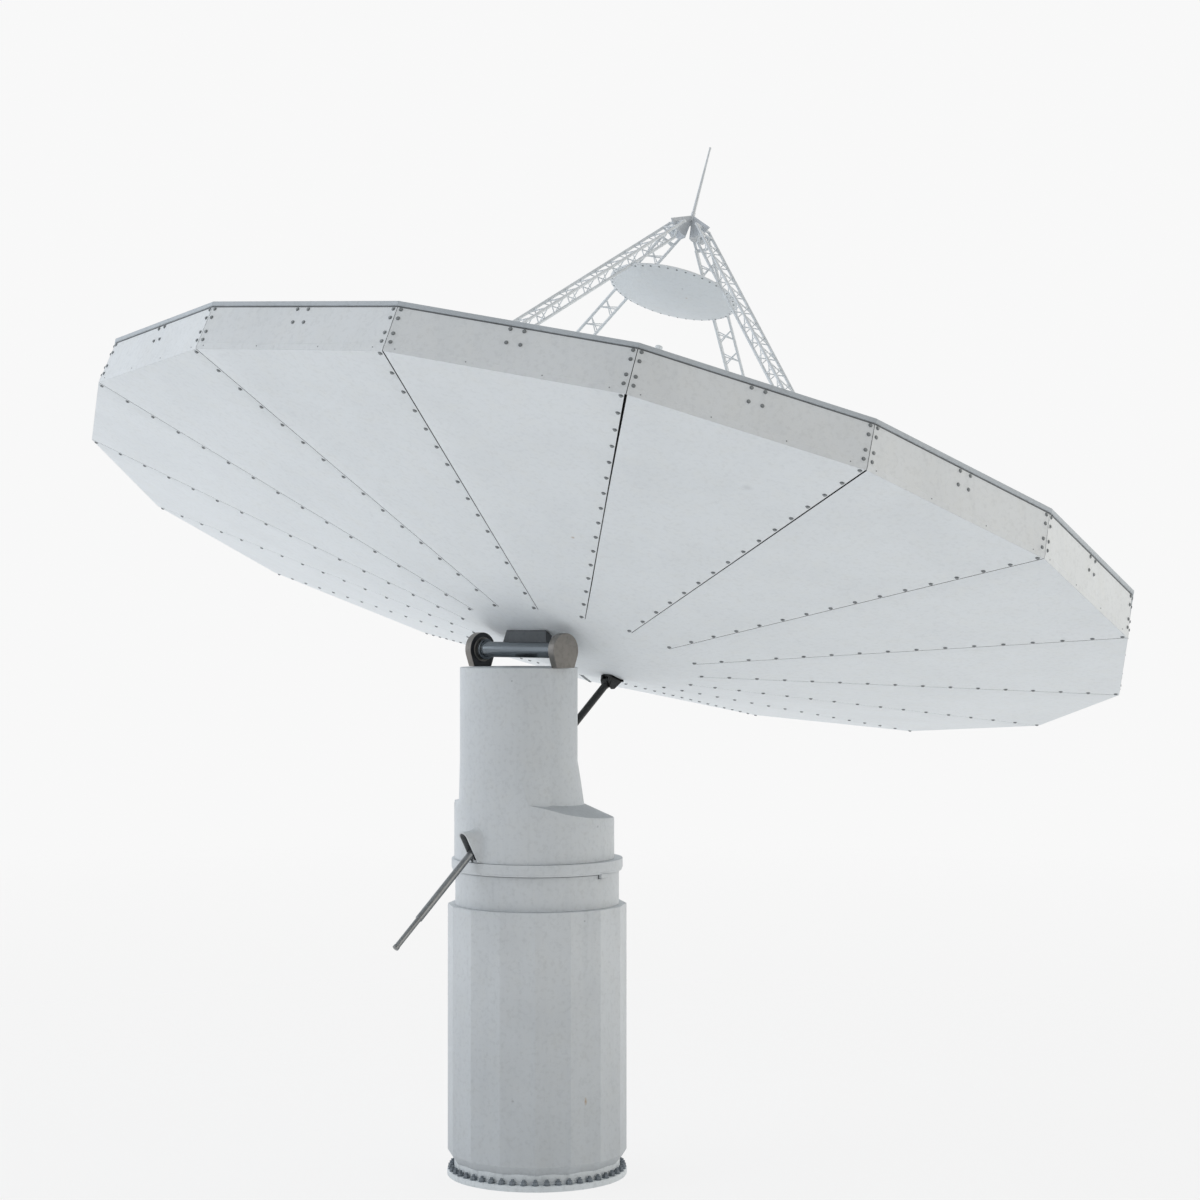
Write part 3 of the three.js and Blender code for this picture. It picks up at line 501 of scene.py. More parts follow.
def make_dish_fasteners():
    """Bolt rows along every seam, the groups on the skirt and a few rivets in the hem."""
    rng = random.Random(4)
    heads, rim_heads, rivets = Soup(), Soup(), Soup()
    slope = math.atan((RIM_R - SKIRT_TOP_R) / SKIRT_HEIGHT)
    cone = math.atan(-HUB_T / (RIM_R - HUB_R))
    first, last, per_row = 3.629, 0.850, 16
    for k in range(PETALS):
        down = at_sector(k, math.sin(cone), 0, -math.cos(cone))
        for i in range(per_row):
            r = first - (first - last) * i / (per_row - 1)
            a = (r - 0.004) * COS_HALF
            y = a * TAN_HALF - 0.026
            heads.bolt(at_sector(k, a, y, back_t(r) + 0.0005), down, 0.0105, 0.009, rng.uniform(0, 1))
        out = at_sector(k, math.cos(slope), 0, math.sin(slope))

        def skirt_bolt(y, t):
            r = RIM_R - (RIM_R - SKIRT_TOP_R) * t / SKIRT_HEIGHT
            rim_heads.bolt(at_sector(k, r * COS_HALF, y, t), out, 0.0085, 0.008, rng.uniform(0, 1))

        for side in (-1, 1):
            for share in (0.075, 0.27, 0.60, 0.79):
                skirt_bolt(side * (3.640 * COS_HALF * TAN_HALF - 0.028), 0.292 * (1 - share))
        for y in (-0.031, 0.051):
            for t in (0.268, 0.182):
                skirt_bolt(y, t)
        for y in (-0.64, -0.22, 0.21, 0.62):
            rivets.rivet(at_sector(k, 3.6495 * COS_HALF, y + rng.uniform(-0.02, 0.02), 0.022), out, 0.004)
    heads.make("petal_bolts", zinc, *WHITE_DISH, matrix=TILT)
    rim_heads.make("rim_bolts", zinc, *WHITE_DISH, matrix=TILT)
    # Painted shade: a near-black strip behind each rim seam, so the gap reads dark
    seams = Soup()
    for k in range(PETALS):
        turn = Matrix.Rotation(k * SECTOR, 3, "Z")
        section = ((-0.003, -0.012), (0.0, -0.012), (0.0, 0.012), (-0.003, 0.012))
        ends = ((0.003, 3.6445), (0.283, 3.6160))
        seams.loft([[turn @ Vector((r + x, y, t)) for x, y in section] for t, r in ends])
    seams.make("rim_seam_shade_strip", seam_painted_shade, *WHITE_DISH, matrix=TILT)
    rivets.make("rim_rivets", zinc, *WHITE_DISH, matrix=TILT)


def make_hub():
    """Pan at the dish's centre: flat in the middle, and sixteen-sided where it meets the petals."""
    verts, faces = [], []
    sides = 96
    flat, round_to, edge_lift = back_t(HUB_FLAT_R), 0.42, 0.003
    outer = []
    for r in (0.12, 0.25, 0.37, HUB_FLAT_R, 0.43, 0.52, 0.62, 0.72, 0.79, HUB_R):
        t = max(flat, back_t(r)) if r > round_to else flat + (edge_lift if r == HUB_FLAT_R else 0)
        outer.append((r, t, max(0.0, (r - round_to) / (HUB_R - round_to))))
    inner = [(HUB_R - 0.004, bowl_t(HUB_R) - 0.006, 1.0), (HUB_R - 0.014, bowl_t(HUB_R) - 0.006, 1.0),
             (HUB_R - 0.014, back_t(HUB_R) + 0.014, 1.0), (HUB_FLAT_R, flat + 0.014, 0.0)]
    for r, t, blend in outer + inner:
        for s in range(sides):
            angle = 2 * math.pi * s / sides
            local = (angle % SECTOR) - SECTOR / 2
            factor = (COS_HALF / math.cos(local)) * blend + (1 - blend)
            verts.append(polar(r * factor, angle, t))
    rows = len(outer) + len(inner)
    for i in range(rows - 1):
        for s in range(sides):
            j = (s + 1) % sides
            faces.append((i * sides + s, i * sides + j, (i + 1) * sides + j, (i + 1) * sides + s))
    faces.append(tuple(range(sides - 1, -1, -1)))
    faces.append(tuple((rows - 1) * sides + s for s in range(sides)))
    piece("hub_shell", verts, faces, paint_dish, *WHITE_DISH, ("hub_pan",), TILT, sharp=40)


def make_feed():
    """Disc at the bottom of the bowl and the tapering feed housing on it."""
    edge = bowl_t(HUB_R) - 0.003
    disc = [(0, -0.512), (HUB_R - 0.002, edge - 0.006), (HUB_R - 0.002, edge), (0.30, bowl_t(0.30)),
            (0, -0.503)]
    verts, faces = lathe(disc, PETALS)
    piece("bowl_centre_disc", verts, faces, paint_dish, *WHITE_DISH, ("feed_horn",), TILT, bevel=0.002)
    turned("feed_housing", [(0, -0.506), (0.240, -0.506), (0.236, -0.468), (0.180, -0.455), (0.172, -0.420),
                            (0.128, 1.240), (0.112, 1.275), (0.024, 1.500), (0.022, 1.640), (0.027, 1.643),
                            (0.027, 1.658), (0.022, 1.664), (0, 1.664)], paint_rim, *WHITE_DISH, matrix=TILT,
           sides=64, radius=0.006)
    heads = Soup()
    for centre in polygon(0.208, -0.4625, 12):
        heads.bolt(centre, (0, 0, 1), 0.010, 0.009)
    heads.make("feed_flange_bolts", zinc, *WHITE_DISH, matrix=TILT)


def make_sub_reflector():
    """Shallow convex disc facing down, with a bolted rim; the legs' inner chords pass its edge."""
    radius, level, bulge = 0.459, 2.077, 0.062
    under = [(radius * i / 14, level - bulge * (1 - (i / 14) ** 2)) for i in range(15)]
    profile = under + [(radius + 0.002, level + 0.002), (radius + 0.002, level + 0.008),
                       (radius - 0.003, level + 0.011), (radius - 0.03, level + 0.012),
                       (radius - 0.05, level + 0.022), (0, level + 0.030)]
    verts, faces = lathe(profile, 96)
    piece("sub_reflector_shell", verts, faces, paint_sub, *WHITE_DISH, ("sub_reflector",), TILT, sharp=40)
    heads, clips = Soup(), Soup()
    rivets = 44
    for i in range(rivets):
        a = 2 * math.pi * (i + 0.5) / rivets
        r = radius - 0.016
        slope = math.atan(2 * bulge * r / radius ** 2)
        normal = polar(math.sin(slope), a, -math.cos(slope))
        heads.rivet(polar(r, a, level - bulge * (1 - (r / radius) ** 2)), normal, 0.0075)
    for i in range(LEGS):
        low = (radius - 0.060, -0.03, level + 0.012)
        high = (radius - 0.020, 0.03, level + 0.030)
        clips.block(low, high, Matrix.Rotation(i * math.pi / 2, 3, "Z"))
    heads.make("sub_reflector_bolts", zinc, *WHITE_DISH, matrix=TILT)
    clips.make("sub_reflector_clips", lattice, *GREY_DISH, matrix=TILT, bevel=0.0015)


def leg_line():
    """Foot, top, direction and outward normal of the leg in the plane y = 0 of the dish frame."""
    foot, top = Vector((LEG_FOOT_R, 0, bowl_t(LEG_FOOT_R))), Vector(LEG_TOP)
    along = (top - foot).normalized()
    return foot, top, along, Vector((along.z, 0, -along.x))


def make_leg(index):
    """Three-chord lattice mast with a cross in each face at every bay, on a bolted foot plate."""
    foot, top, along, across = leg_line()
    length = (top - foot).length
    chord, brace, tie = 0.0108, 0.0040, 0.0075
    bay, half_cross, plate_top = 0.1665, 0.037, 0.024
    crosses_from_foot = [2.854 + bay * n for n in range(-17, 5)]
    sides = [(LEG_CORNERS[f], LEG_CORNERS[(f + 1) % 3]) for f in range(3)]

    def at(s, corner):
        return foot + along * s + across * corner[0] + Vector((0, corner[1], 0))

    truss = Soup()
    start = 0.03
    for corner, end in zip(LEG_CORNERS, (length - 0.020, length - 0.020, length - 0.080)):
        low = 0.03
        while at(low, corner).z < bowl_t(at(low, corner).x) + plate_top:
            low += 0.004
        start = max(start, low)
        truss.rod(at(low, corner), at(end, corner), chord, 10)
    for s in crosses_from_foot:
        if s - half_cross < start or s + half_cross > length - 0.1:
            continue
        for a, b in sides:
            truss.rod(at(s - half_cross, a), at(s + half_cross, b), brace, 6)
            truss.rod(at(s - half_cross, b), at(s + half_cross, a), brace, 6)
    for a, b in sides:
        truss.rod(at(length - 0.095, a), at(length - 0.095, b), tie, 8)
        truss.rod(at(start + 0.015, a), at(start + 0.015, b), tie, 8)
    turn = TILT @ Matrix.Rotation(index * math.pi / 2, 4, "Z")
    truss.make(f"lattice_truss_{index + 1}", lattice, *GREY_DISH, matrix=turn,
               replaces=(f"lattice_leg_{index + 1}",), sharp=60)
    slope = 2 * (BOWL_T - BOWL_VERTEX) * LEG_FOOT_R / BOWL_R ** 2
    lean, set_in = math.atan(slope), 0.025
    seat = Matrix.Translation((LEG_FOOT_R - set_in, 0, bowl_t(LEG_FOOT_R) - set_in * slope))
    tilt = seat @ Matrix.Rotation(-lean, 4, "Y")
    foot_plate, heads = Soup(), Soup()
    plate = [(-0.10, -0.085), (0.10, -0.085), (0.10, 0.085), (-0.10, 0.085)]
    foot_plate.loft([[tilt @ Vector((x, y, z)) for x, y in plate] for z in (0.004, 0.026)])
    up = Vector((-math.sin(lean), 0, math.cos(lean)))
    for x, y in ((-0.082, -0.068), (0.082, -0.068), (0.082, 0.068), (-0.082, 0.068)):
        heads.bolt(tilt @ Vector((x, y, 0.026)), up, 0.011, 0.009)
    foot_plate.make(f"leg_foot_{index + 1}", lattice, *GREY_DISH, matrix=turn, bevel=0.003)
    heads.make(f"leg_foot_bolts_{index + 1}", zinc, *GREY_DISH, matrix=turn)


def make_apex():
    """Two crossed gusset plates, a head bar for each leg's outer chords, and the tapering spike."""
    wing = [(0.0, 2.678), (0.020, 2.676), (0.198, 2.571), (0.165, 2.535), (0.060, 2.508), (0.026, 2.515),
            (0.010, 2.606), (0.0, 2.606)]
    top, along, across = leg_line()[1:]
    reach = Vector((0, 0.080, 0))
    gusset, bars = Soup(), Soup()
    for i in range(LEGS):
        turn = Matrix.Rotation(i * math.pi / 2, 3, "Z")
        gusset.loft([[turn @ Vector((x, y, z)) for x, z in wing] for y in (-0.005, 0.005)])
        centre = top - along * 0.013 + across * LEG_CORNERS[0][0]
        bars.rod(turn @ (centre - reach), turn @ (centre + reach), 0.0108, 12)
    gusset.make("apex_gusset", gusset_paint, *GREY_DISH, matrix=TILT, replaces=("apex_cap",))
    bars.make("apex_head_bars", lattice, *GREY_DISH, matrix=TILT, bevel=0.0015)
    turned("lightning_spike", [(0, 2.640), (0.016, 2.642), (0.016, 2.706), (0.0125, 2.712), (0.0105, 2.90),
                               (0.0068, 3.215), (0.0088, 3.219), (0.0088, 3.229), (0, 3.234)], lattice,
           *GREY_DISH, matrix=TILT, sides=20, radius=0.002)


for sector in range(PETALS):
    make_petal(sector)
    make_rim_panel(sector)
make_dish_fasteners()
make_hub()
make_feed()
make_sub_reflector()
for leg in range(LEGS):
    make_leg(leg)
make_apex()


# ---- elevation drive
def along_y(x, z):
    """Turns a lathe's axis onto the line through (x, z) that runs along y."""
    return Matrix.Translation((x, 0, z)) @ Matrix.Rotation(-math.pi / 2, 4, "X")


def hub_under(x):
    """Height of the hub's underside in the plane y = 0."""
    flat = back_t(HUB_FLAT_R)
    corners = ((-HUB_R, HUB_T), (-HUB_FLAT_R, flat), (HUB_FLAT_R, flat), (HUB_R, HUB_T))
    line = [TILT @ Vector((r, 0, t)) for r, t in corners]
    for p, q in zip(line, line[1:]):
        if p.x <= x <= q.x:
            return p.z + (q.z - p.z) * (x - p.x) / (q.x - p.x)
    return line[0].z


def make_elevation_parts():
    """Tilt shaft with its collars, the bracket that joins it to the hub, and the two bearing ears."""
    half = [(0.052, 0.334), (0.070, 0.336), (0.070, 0.354), (0.061, 0.356), (0.061, 0.3655), (0.042, 0.3665),
            (0.042, 0.410), (0, 0.410)]
    profile = [(r, -z) for r, z in reversed(half)] + half
    turned("shaft_tube", profile, shaft_steel, "dish", "bare_steel", ("elevation_shaft",), 64,
           along_y(SHAFT.x, SHAFT.z), radius=0.003)
    section = [(0.030, 0.0435), (0.0405, 0.034), (0.0487, 0.020), (0.0527, 0.002), (0.058, 0.0),
               (0.105, None), (0.046, None)]
    rings = []
    for share in (-1.0, -0.5, 0.0, 0.5, 1.0):
        ring = []
        for x, z in section:
            low = z is not None
            half_width = 0.213 if low else 0.190
            level = SHAFT.z + z if low else hub_under(SHAFT.x + x) - 0.001
            ring.append(Vector((SHAFT.x + x, share * half_width, level)))
        rings.append(ring)
    block = Soup()
    block.loft(rings)
    block.make("bracket_block", bracket_paint, "dish", "dark_steel", replaces=("dish_bracket",), bevel=0.003)
    ear = [(SHAFT.x - 0.079, COLUMN_TOP)]
    past_level, ear_r, steps = 0.34, 0.114, 36
    for i in range(steps + 1):
        angle = math.pi + past_level - (math.pi + 2 * past_level) * i / steps
        ear.append((SHAFT.x + ear_r * math.cos(angle), SHAFT.z + ear_r * math.sin(angle)))
    ear.append((SHAFT.x + 0.079, COLUMN_TOP))
    for side, name in ((1, "left"), (-1, "right")):
        plate = prism_y(f"ear_plate_{name}", ear, side * 0.374, side * 0.430, ear_paint, "turret",
                        "dark_steel", (f"ear_{name}",), 0.004)
        # Painted shade: the ear's inner face, in the shade between the ears, gets near-black paint
        plate.data.materials.append(dark_painted_shade)
        plate.data.polygons[0].material_index = 1
        for n, (low, high) in enumerate(((0.0435, 0.058), (0.063, 0.081))):
            rings = [(low, 0.3675), (high, 0.3675), (high + 0.002, 0.3695), (high + 0.002, 0.3745),
                     (low, 0.3745)]
            mirrored = [(r, side * z) for r, z in rings]
            verts, faces = lathe(round_corners(mirrored, 0.0015, 2, True), 64)
            piece(f"bearing_ring_{name}_{n + 1}", verts, faces, ear_paint, "turret", "dark_steel", (),
                  along_y(SHAFT.x, SHAFT.z))


def make_clevis_and_jack():
    """Fork under the hub with its pin, and the jack's upper tube and lower rod hanging on it."""
    drop = (TRUNNION - PIN).normalized()
    front, corner = PIN.x + 0.118, 0.624 + 0.142
    cheek = [(PIN.x - 0.028, PIN.z + 0.014), (PIN.x - 0.017, PIN.z - 0.020), (PIN.x + 0.004, PIN.z - 0.045),
             (PIN.x + 0.028, PIN.z - 0.045), (front, hub_under(front) - 0.002),
             (corner, hub_under(corner) - 0.002), (PIN.x - 0.006, hub_under(PIN.x - 0.006) - 0.002),
             (PIN.x - 0.020, PIN.z + 0.054)]
    prism_y("clevis_cheek_left", cheek, 0.026, 0.042, black_paint, *BLACK_DISH, ("jack_clevis",), 0.003)
    prism_y("clevis_cheek_right", cheek, -0.042, -0.026, black_paint, *BLACK_DISH, (), 0.003)
    ends = (front, corner, PIN.x - 0.006)
    roof = [(x, hub_under(x) - 0.016) for x in reversed(ends)] + [(x, hub_under(x) - 0.001) for x in ends]
    prism_y("clevis_roof", roof, -0.042, 0.042, black_paint, *BLACK_DISH, (), 0.002)
    turned("clevis_pin", [(0, -0.046), (0.013, -0.046), (0.014, -0.045), (0.014, 0.045), (0.013, 0.046),
                          (0, 0.046)], black_paint, *BLACK_DISH, (), 32, along_y(PIN.x, PIN.z), radius=0.001)
    line = Matrix.Translation(PIN) @ drop.to_track_quat("Z", "Y").to_matrix().to_4x4()
    turned("jack_upper_tube", [(0, 0.028), (0.025, 0.030), (0.025, 1.100), (0.0285, 1.102), (0.0285, 1.118),
                               (0, 1.120)], black_paint, *BLACK_SCREW, ("jack_rod_upper",), 48, line,
           radius=0.002)
    eye = [(0.015, -0.022), (0.034, -0.022), (0.034, 0.022), (0.015, 0.022)]
    verts, faces = lathe(round_corners(eye, 0.003, 3, True), 48)
    piece("jack_eye", verts, faces, black_paint, *BLACK_SCREW, (), along_y(PIN.x, PIN.z))
    rod = [(0, 1.1205), (0.024, 1.121), (0.024, 2.276), (0.0185, 2.280), (0.0185, 2.514), (0.0215, 2.516),
           (0.0215, 2.535), (0, 2.538)]
    turned("jack_lower_rod", rod, rod_steel, "jack_screw", "bare_steel", ("jack_rod_lower",), 48, line,
           radius=0.002)


make_elevation_parts()
make_clevis_and_jack()

# ---- turret
SHELL_X, SHELL_R, FLARE_X, FLARE_R, COLUMN_X, COLUMN_R = -0.025, 0.535, -0.145, 0.417, -0.170, 0.392
LEDGE_OUT = [(-0.57, 2.512), (-0.50, 2.512), (-0.42, 2.500), (-0.34, 2.476), (-0.21, 2.434), (-0.06, 2.408),
             (0.10, 2.395), (0.36, 2.381), (0.52, 2.375)]
LEDGE_IN = [(-0.57, 2.516), (-0.42, 2.512), (-0.30, 2.500), (-0.19, 2.489), (0.0, 2.483), (0.28, 2.478)]
LEDGE_END = math.radians(138)


def along_table(pairs, x):
    """Value at x on the broken line through pairs."""
    if x <= pairs[0][0]:
        return pairs[0][1]
    for (x0, v0), (x1, v1) in zip(pairs, pairs[1:]):
        if x <= x1:
            f = (x - x0) / (x1 - x0)
            return v0 + (v1 - v0) * f
    return pairs[-1][1]


def circle_row(centre, r, height, angles):
    """Points round a circle about (centre, 0), at a level height or one that depends on x."""
    row = []
    for a in angles:
        x, y = centre + r * math.cos(a), r * math.sin(a)
        row.append(Vector((x, y, height(x) if callable(height) else height)))
    return row


def cut_slot(shell, low, high):
    """Cuts a slot with rounded corners through a wall, between two corners of a box."""
    mesh = bpy.data.meshes.new("slot_cutter")
    bm = bmesh.new()
    bmesh.ops.create_cube(bm, size=1.0)
    for v in bm.verts:
        v.co = Vector([low[i] if v.co[i] < 0 else high[i] for i in range(3)])
    through = [e for e in bm.edges if abs(e.verts[0].co.x - e.verts[1].co.x) > 0.01]
    bmesh.ops.bevel(bm, geom=through, offset=0.026, segments=6, profile=0.5, affect="EDGES")
    bm.to_mesh(mesh)
    bm.free()
    cutter = add_object("slot_cutter", mesh)
    cut = shell.modifiers.new("slot", "BOOLEAN")
    cut.object = cutter
    cut.operation = "DIFFERENCE"
    cut.solver = "EXACT"
    bpy.context.view_layer.objects.active = shell
    with bpy.context.temp_override(object=shell, active_object=shell, selected_objects=[shell]):
        bpy.ops.object.modifier_apply(modifier="slot")
    bpy.data.objects.remove(cutter)


def make_turret():
    """Shell, sloping ledge and column in one skin; the rear third runs up into the column without a ledge."""
    front_steps, rear_steps, weld = 122, 38, 0.0022
    angles = [LEDGE_END * (2 * i / front_steps - 1) for i in range(front_steps + 1)]
    begin, end = LEDGE_END + weld, 2 * math.pi - LEDGE_END - weld
    angles += [begin + (end - begin) * i / rear_steps for i in range(rear_steps + 1)]
    sides = len(angles)

    def circle(centre, r, height):
        return circle_row(centre, r, height, angles)

    outer = circle(SHELL_X, SHELL_R, lambda x: along_table(LEDGE_OUT, x))
    inner = []
    for a, p, q in zip(angles, outer, circle(FLARE_X, FLARE_R, lambda x: along_table(LEDGE_IN, x))):
        share = max(0.0, min(1.0, (math.radians(137.5) + a) / math.radians(32)))
        inner.append(p.lerp(q, share ** 0.7))
    high = circle(COLUMN_X, COLUMN_R, 2.768)
    middle = [[Vector((p.x, p.y, p.z - 0.006)) for p in outer],
              [p + (q - p).normalized() * 0.004 for p, q in zip(outer, inner)]]
    for f in (0.25, 0.5, 0.75, 0.98):
        middle.append([p.lerp(q, f) for p, q in zip(outer, inner)])
    middle.append([Vector((p.x, p.y, p.z + 0.006)) for p in inner])
    for z, f in ((2.58, 0.30), (2.68, 0.66)):
        row = [p.lerp(q, f) for p, q in zip(inner, high)]
        middle.append([Vector((p.x, p.y, z)) for p in row])
    low = circle(SHELL_X, SHELL_R, 2.15)
    # Rear third: height and share of the way from the shell to the column, at the ledge's near and
    # far ends, where the wall steps in crisply, and between them, where it runs up smoothly
    corner = ((2.494, 0), (2.5, 0), (2.5, 0), (2.5, 0), (2.5, 0), (2.5, 0), (2.506, 0.02), (2.58, 0.3),
              (2.68, 0.66))
    smooth = ((2.32, 0.02), (2.38, 0.06), (2.43, 0.13), (2.47, 0.21), (2.51, 0.30), (2.55, 0.41),
              (2.60, 0.56), (2.65, 0.71), (2.70, 0.85))
    far_corner = ((2.42, 0), (2.45, 0.05), (2.47, 0.2), (2.49, 0.5), (2.505, 0.75), (2.52, 0.9),
                  (2.55, 0.97), (2.60, 1), (2.68, 1))
    for row, near_end, far_end, (z1, share1) in zip(middle, corner, far_corner, smooth):
        for s in range(front_steps + 1, sides):
            near = angles[s] > math.pi
            z0, share0 = near_end if near else far_end
            away = (2 * math.pi - LEDGE_END) - angles[s] if near else angles[s] - LEDGE_END
            w = max(0.0, min(1.0, away / math.radians(14 if near else 34)))
            w = w * w * (3 - 2 * w)
            p = low[s].lerp(high[s], share0 + (share1 - share0) * w)
            row[s] = Vector((p.x, p.y, z0 + (z1 - z0) * w))
    rows = [circle(SHELL_X, SHELL_R - 0.010, 2.30), circle(SHELL_X, SHELL_R - 0.010, 2.114),
            circle(SHELL_X, SHELL_R, 2.114), low] + middle + [high]
    wall = 0.016
    top_and_inside = ((COLUMN_R, 2.80), (COLUMN_R, 3.10), (COLUMN_R, COLUMN_TOP - 0.004),
                      (COLUMN_R - 0.004, COLUMN_TOP), (COLUMN_R - 0.05, COLUMN_TOP), (0.10, COLUMN_TOP),
                      (0.10, COLUMN_TOP - wall), (COLUMN_R - wall, COLUMN_TOP - wall), (COLUMN_R - wall, 2.62))
    rows += [circle(COLUMN_X, r, z) for r, z in top_and_inside]
    rows += [circle(-0.172, 0.350, z) for z in (2.50, 2.30)]
    verts = [p for row in rows for p in row]
    faces = []
    count = len(rows)
    for i in range(count):
        j = (i + 1) % count
        for s in range(sides):
            n = (s + 1) % sides
            faces.append((i * sides + s, i * sides + n, j * sides + n, j * sides + s))
    shell = piece("turret_housing", verts, faces, paint_post, *WHITE_TURRET,
                  ("turret_shell", "turret_column"), sharp=30)
    cut_slot(shell, (0.17, -0.0445, 2.771), (0.30, 0.0445, 3.0895))
    cut_slot(shell, (-0.70, -0.027, 2.130), (-0.50, 0.027, 2.306))
    shell.data.set_sharp_from_angle(angle=math.radians(30))
    shell.data.materials.append(ledge_shade_paint)
    # Painted shade: the ledge's upward faces, shaded by the dish overhead, get a darker paint
    for face in shell.data.polygons:
        if face.normal.z > 0.7 and 2.36 < face.center.z < 2.53:
            face.material_index = 1
    bead = Soup()
    for angle in (-LEDGE_END, LEDGE_END):
        x, y = SHELL_X + SHELL_R * math.cos(angle), SHELL_R * math.sin(angle)
        bead.rod((x, y, 2.116), (x, y, 2.485), 0.0016, 6)
    bead.make("shell_weld_beads", paint_post, *WHITE_TURRET)


def make_hood():
    """Pressed cowl over the screw slot: a narrow arched mouth that flares softly into the shell's wall."""
    foot, steps = 2.1165, 16

    def arch(half, spring):
        points = [(half, foot), (half, (foot + spring) / 2)]
        for i in range(steps + 1):
            a = math.pi * i / steps
            points.append((half * math.cos(a), spring + half * math.sin(a)))
        points += [(-half, (foot + spring) / 2), (-half, foot)]
        return points

    def face_x(z):
        return -0.682 + 0.577 * max(0.0, 2.312 - z)

    def wall_x(y):
        return SHELL_X - math.sqrt((SHELL_R + 0.0005) ** 2 - y * y)

    def row(half, spring, share, lift=0.0):
        points = []
        for y, z in arch(half, spring):
            wall = wall_x(y)
            points.append(Vector((wall + (face_x(z) - wall) * share + lift, y, z)))
        return points

    rows = [row(0.076, 2.270, 0.0, 0.0005), row(0.0665, 2.2745, 0.035), row(0.0570, 2.2785, 0.11),
            row(0.0485, 2.2820, 0.26), row(0.0430, 2.2838, 0.52), row(0.0412, 2.2840, 0.955),
            row(0.0395, 2.2838, 1.0), row(0.0295, 2.2825, 1.0), row(0.0280, 2.2820, 0.97),
            row(0.0270, 2.2790, 0.5), row(0.0265, 2.2760, 0.0)]
    n = len(rows[0])
    verts = [p for r in rows for p in r]
    faces = []
    for i in range(len(rows)):
        j = (i + 1) % len(rows)
        for s in range(n - 1):
            faces.append((i * n + s, i * n + s + 1, j * n + s + 1, j * n + s))
    faces.append(tuple(i * n for i in range(len(rows))))
    faces.append(tuple(i * n + n - 1 for i in reversed(range(len(rows)))))
    cowl = piece("hood_cowl", verts, faces, paint_post, *WHITE_TURRET, ("screw_hood",), sharp=50)
    # Painted shade: the faces inside the cowl's mouth get the dark grey paint
    cowl.data.materials.append(shadow_grey)
    mouth_row = 7
    for i in range(mouth_row * (n - 1), len(rows) * (n - 1)):
        cowl.data.polygons[i].material_index = 1


def make_turntable():
    """Collar under the turret, the lugs that carry the nut's trunnions, and a small stop tab on its rim."""
    turned("turntable_ring", [(0.09, 2.092), (0.552, 2.092), (0.552, 2.034), (0.568, 2.034), (0.568, 2.048),
                              (0.574, 2.050), (0.574, 2.112), (0.09, 2.112)], paint_post, *WHITE_TURRET,
           ("turntable",), 160, radius=0.003)
    lugs = [(-0.478, 2.108), (-0.342, 2.108), (-0.378, 2.348), (-0.400, 2.374), (-0.440, 2.374),
            (-0.462, 2.348)]
    prism_y("trunnion_lug_left", lugs, 0.102, 0.118, paint_grey, *WHITE_TURRET, (), 0.003)
    prism_y("trunnion_lug_right", lugs, -0.118, -0.102, paint_grey, *WHITE_TURRET, (), 0.003)
    # Painted shadow: a near-black plate a little larger than the stop tab, just behind it, gives the tab a dark
    # outline
    tab, shadow_backing = Soup(), Soup()
    turn = Matrix.Rotation(math.radians(-83.2), 3, "Z")
    tab.block((0.5515, -0.035, 2.008), (0.5745, 0.035, 2.036), turn)
    shadow_backing.block((0.5505, -0.038, 2.004), (0.5530, 0.038, 2.031), turn)
    tab.make("turntable_stop_tab", paint_post, *WHITE_TURRET, bevel=0.002)
    shadow_backing.make("stop_tab_painted_shadow", dark_painted_shade, *WHITE_TURRET)


make_turret()
make_hood()
make_turntable()


# ---- pedestal
def make_pedestal():
    """Base flange with its ring of anchor nuts, the sixteen-sided tube and the round bearing neck."""
    turned("base_flange", [(0, 0.0), (0.600, 0.0), (0.602, 0.004), (0.602, 0.034), (0.596, 0.040),
                           (0, 0.040)], paint_grey, "pedestal", "grey_steel", ("base_plate",), 128)
    turned("foot_neck", [(0.540, 0.0405), (0.562, 0.0405), (0.555, 0.050), (0.554, 0.140), (0.540, 0.140)],
           paint_grey, *WHITE_POST, (), 128, radius=0.003)
    profile = [(0.562, 0.100), (0.600, 0.158), (0.600, 1.806), (0.530, 1.806), (0.530, 1.794),
               (0.586, 1.794), (0.586, 0.166), (0.548, 0.108)]
    verts, faces = lathe(profile, 16)
    piece("pedestal_tube_skin", verts, faces, paint_post, *WHITE_POST, ("pedestal_tube",), sharp=12,
          bevel=0.0035)
    turned("neck_ring", [(0.524, 1.807), (0.551, 1.807), (0.549, 1.812), (0.549, 2.030), (0.524, 2.030),
                         (0.524, 1.900), (0.405, 1.900), (0.405, 1.880), (0.524, 1.880)], paint_post,
           *WHITE_POST, ("bearing_neck",), 160, radius=0.003)
    nuts = Soup()
    nut_count, circle_r = 48, 0.576
    washer = ((0.023, 0.0395), (0.023, 0.0435))
    nut = ((0.0195, 0.043), (0.0195, 0.062), (0.0165, 0.0645))
    stud = ((0.0105, 0.063), (0.0105, 0.0755), (0.0085, 0.077))
    for i, centre in enumerate(polygon(circle_r, 0, nut_count)):
        turn = Matrix.Rotation(2 * math.pi * i / nut_count, 3, "Z")
        for rings, sides in ((washer, 16), (nut, 6), (stud, 10)):
            nuts.stand(centre, turn, [polygon(r, z, sides) for r, z in rings])
    nuts.make("anchor_nuts", nut_zinc, "pedestal", "galvanised_steel", replaces=("anchor_nut_ring",))


make_pedestal()

HIDDEN_FINISH = {"ring_gear": rod_steel, "azimuth_pinion": rod_steel, "azimuth_motor": paint_grey,
                 "jack_nut_housing": paint_grey, "jack_motor": paint_grey}
for name, finish in HIDDEN_FINISH.items():
    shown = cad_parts[name]
    for material_slot in shown.material_slots:
        material_slot.material = finish


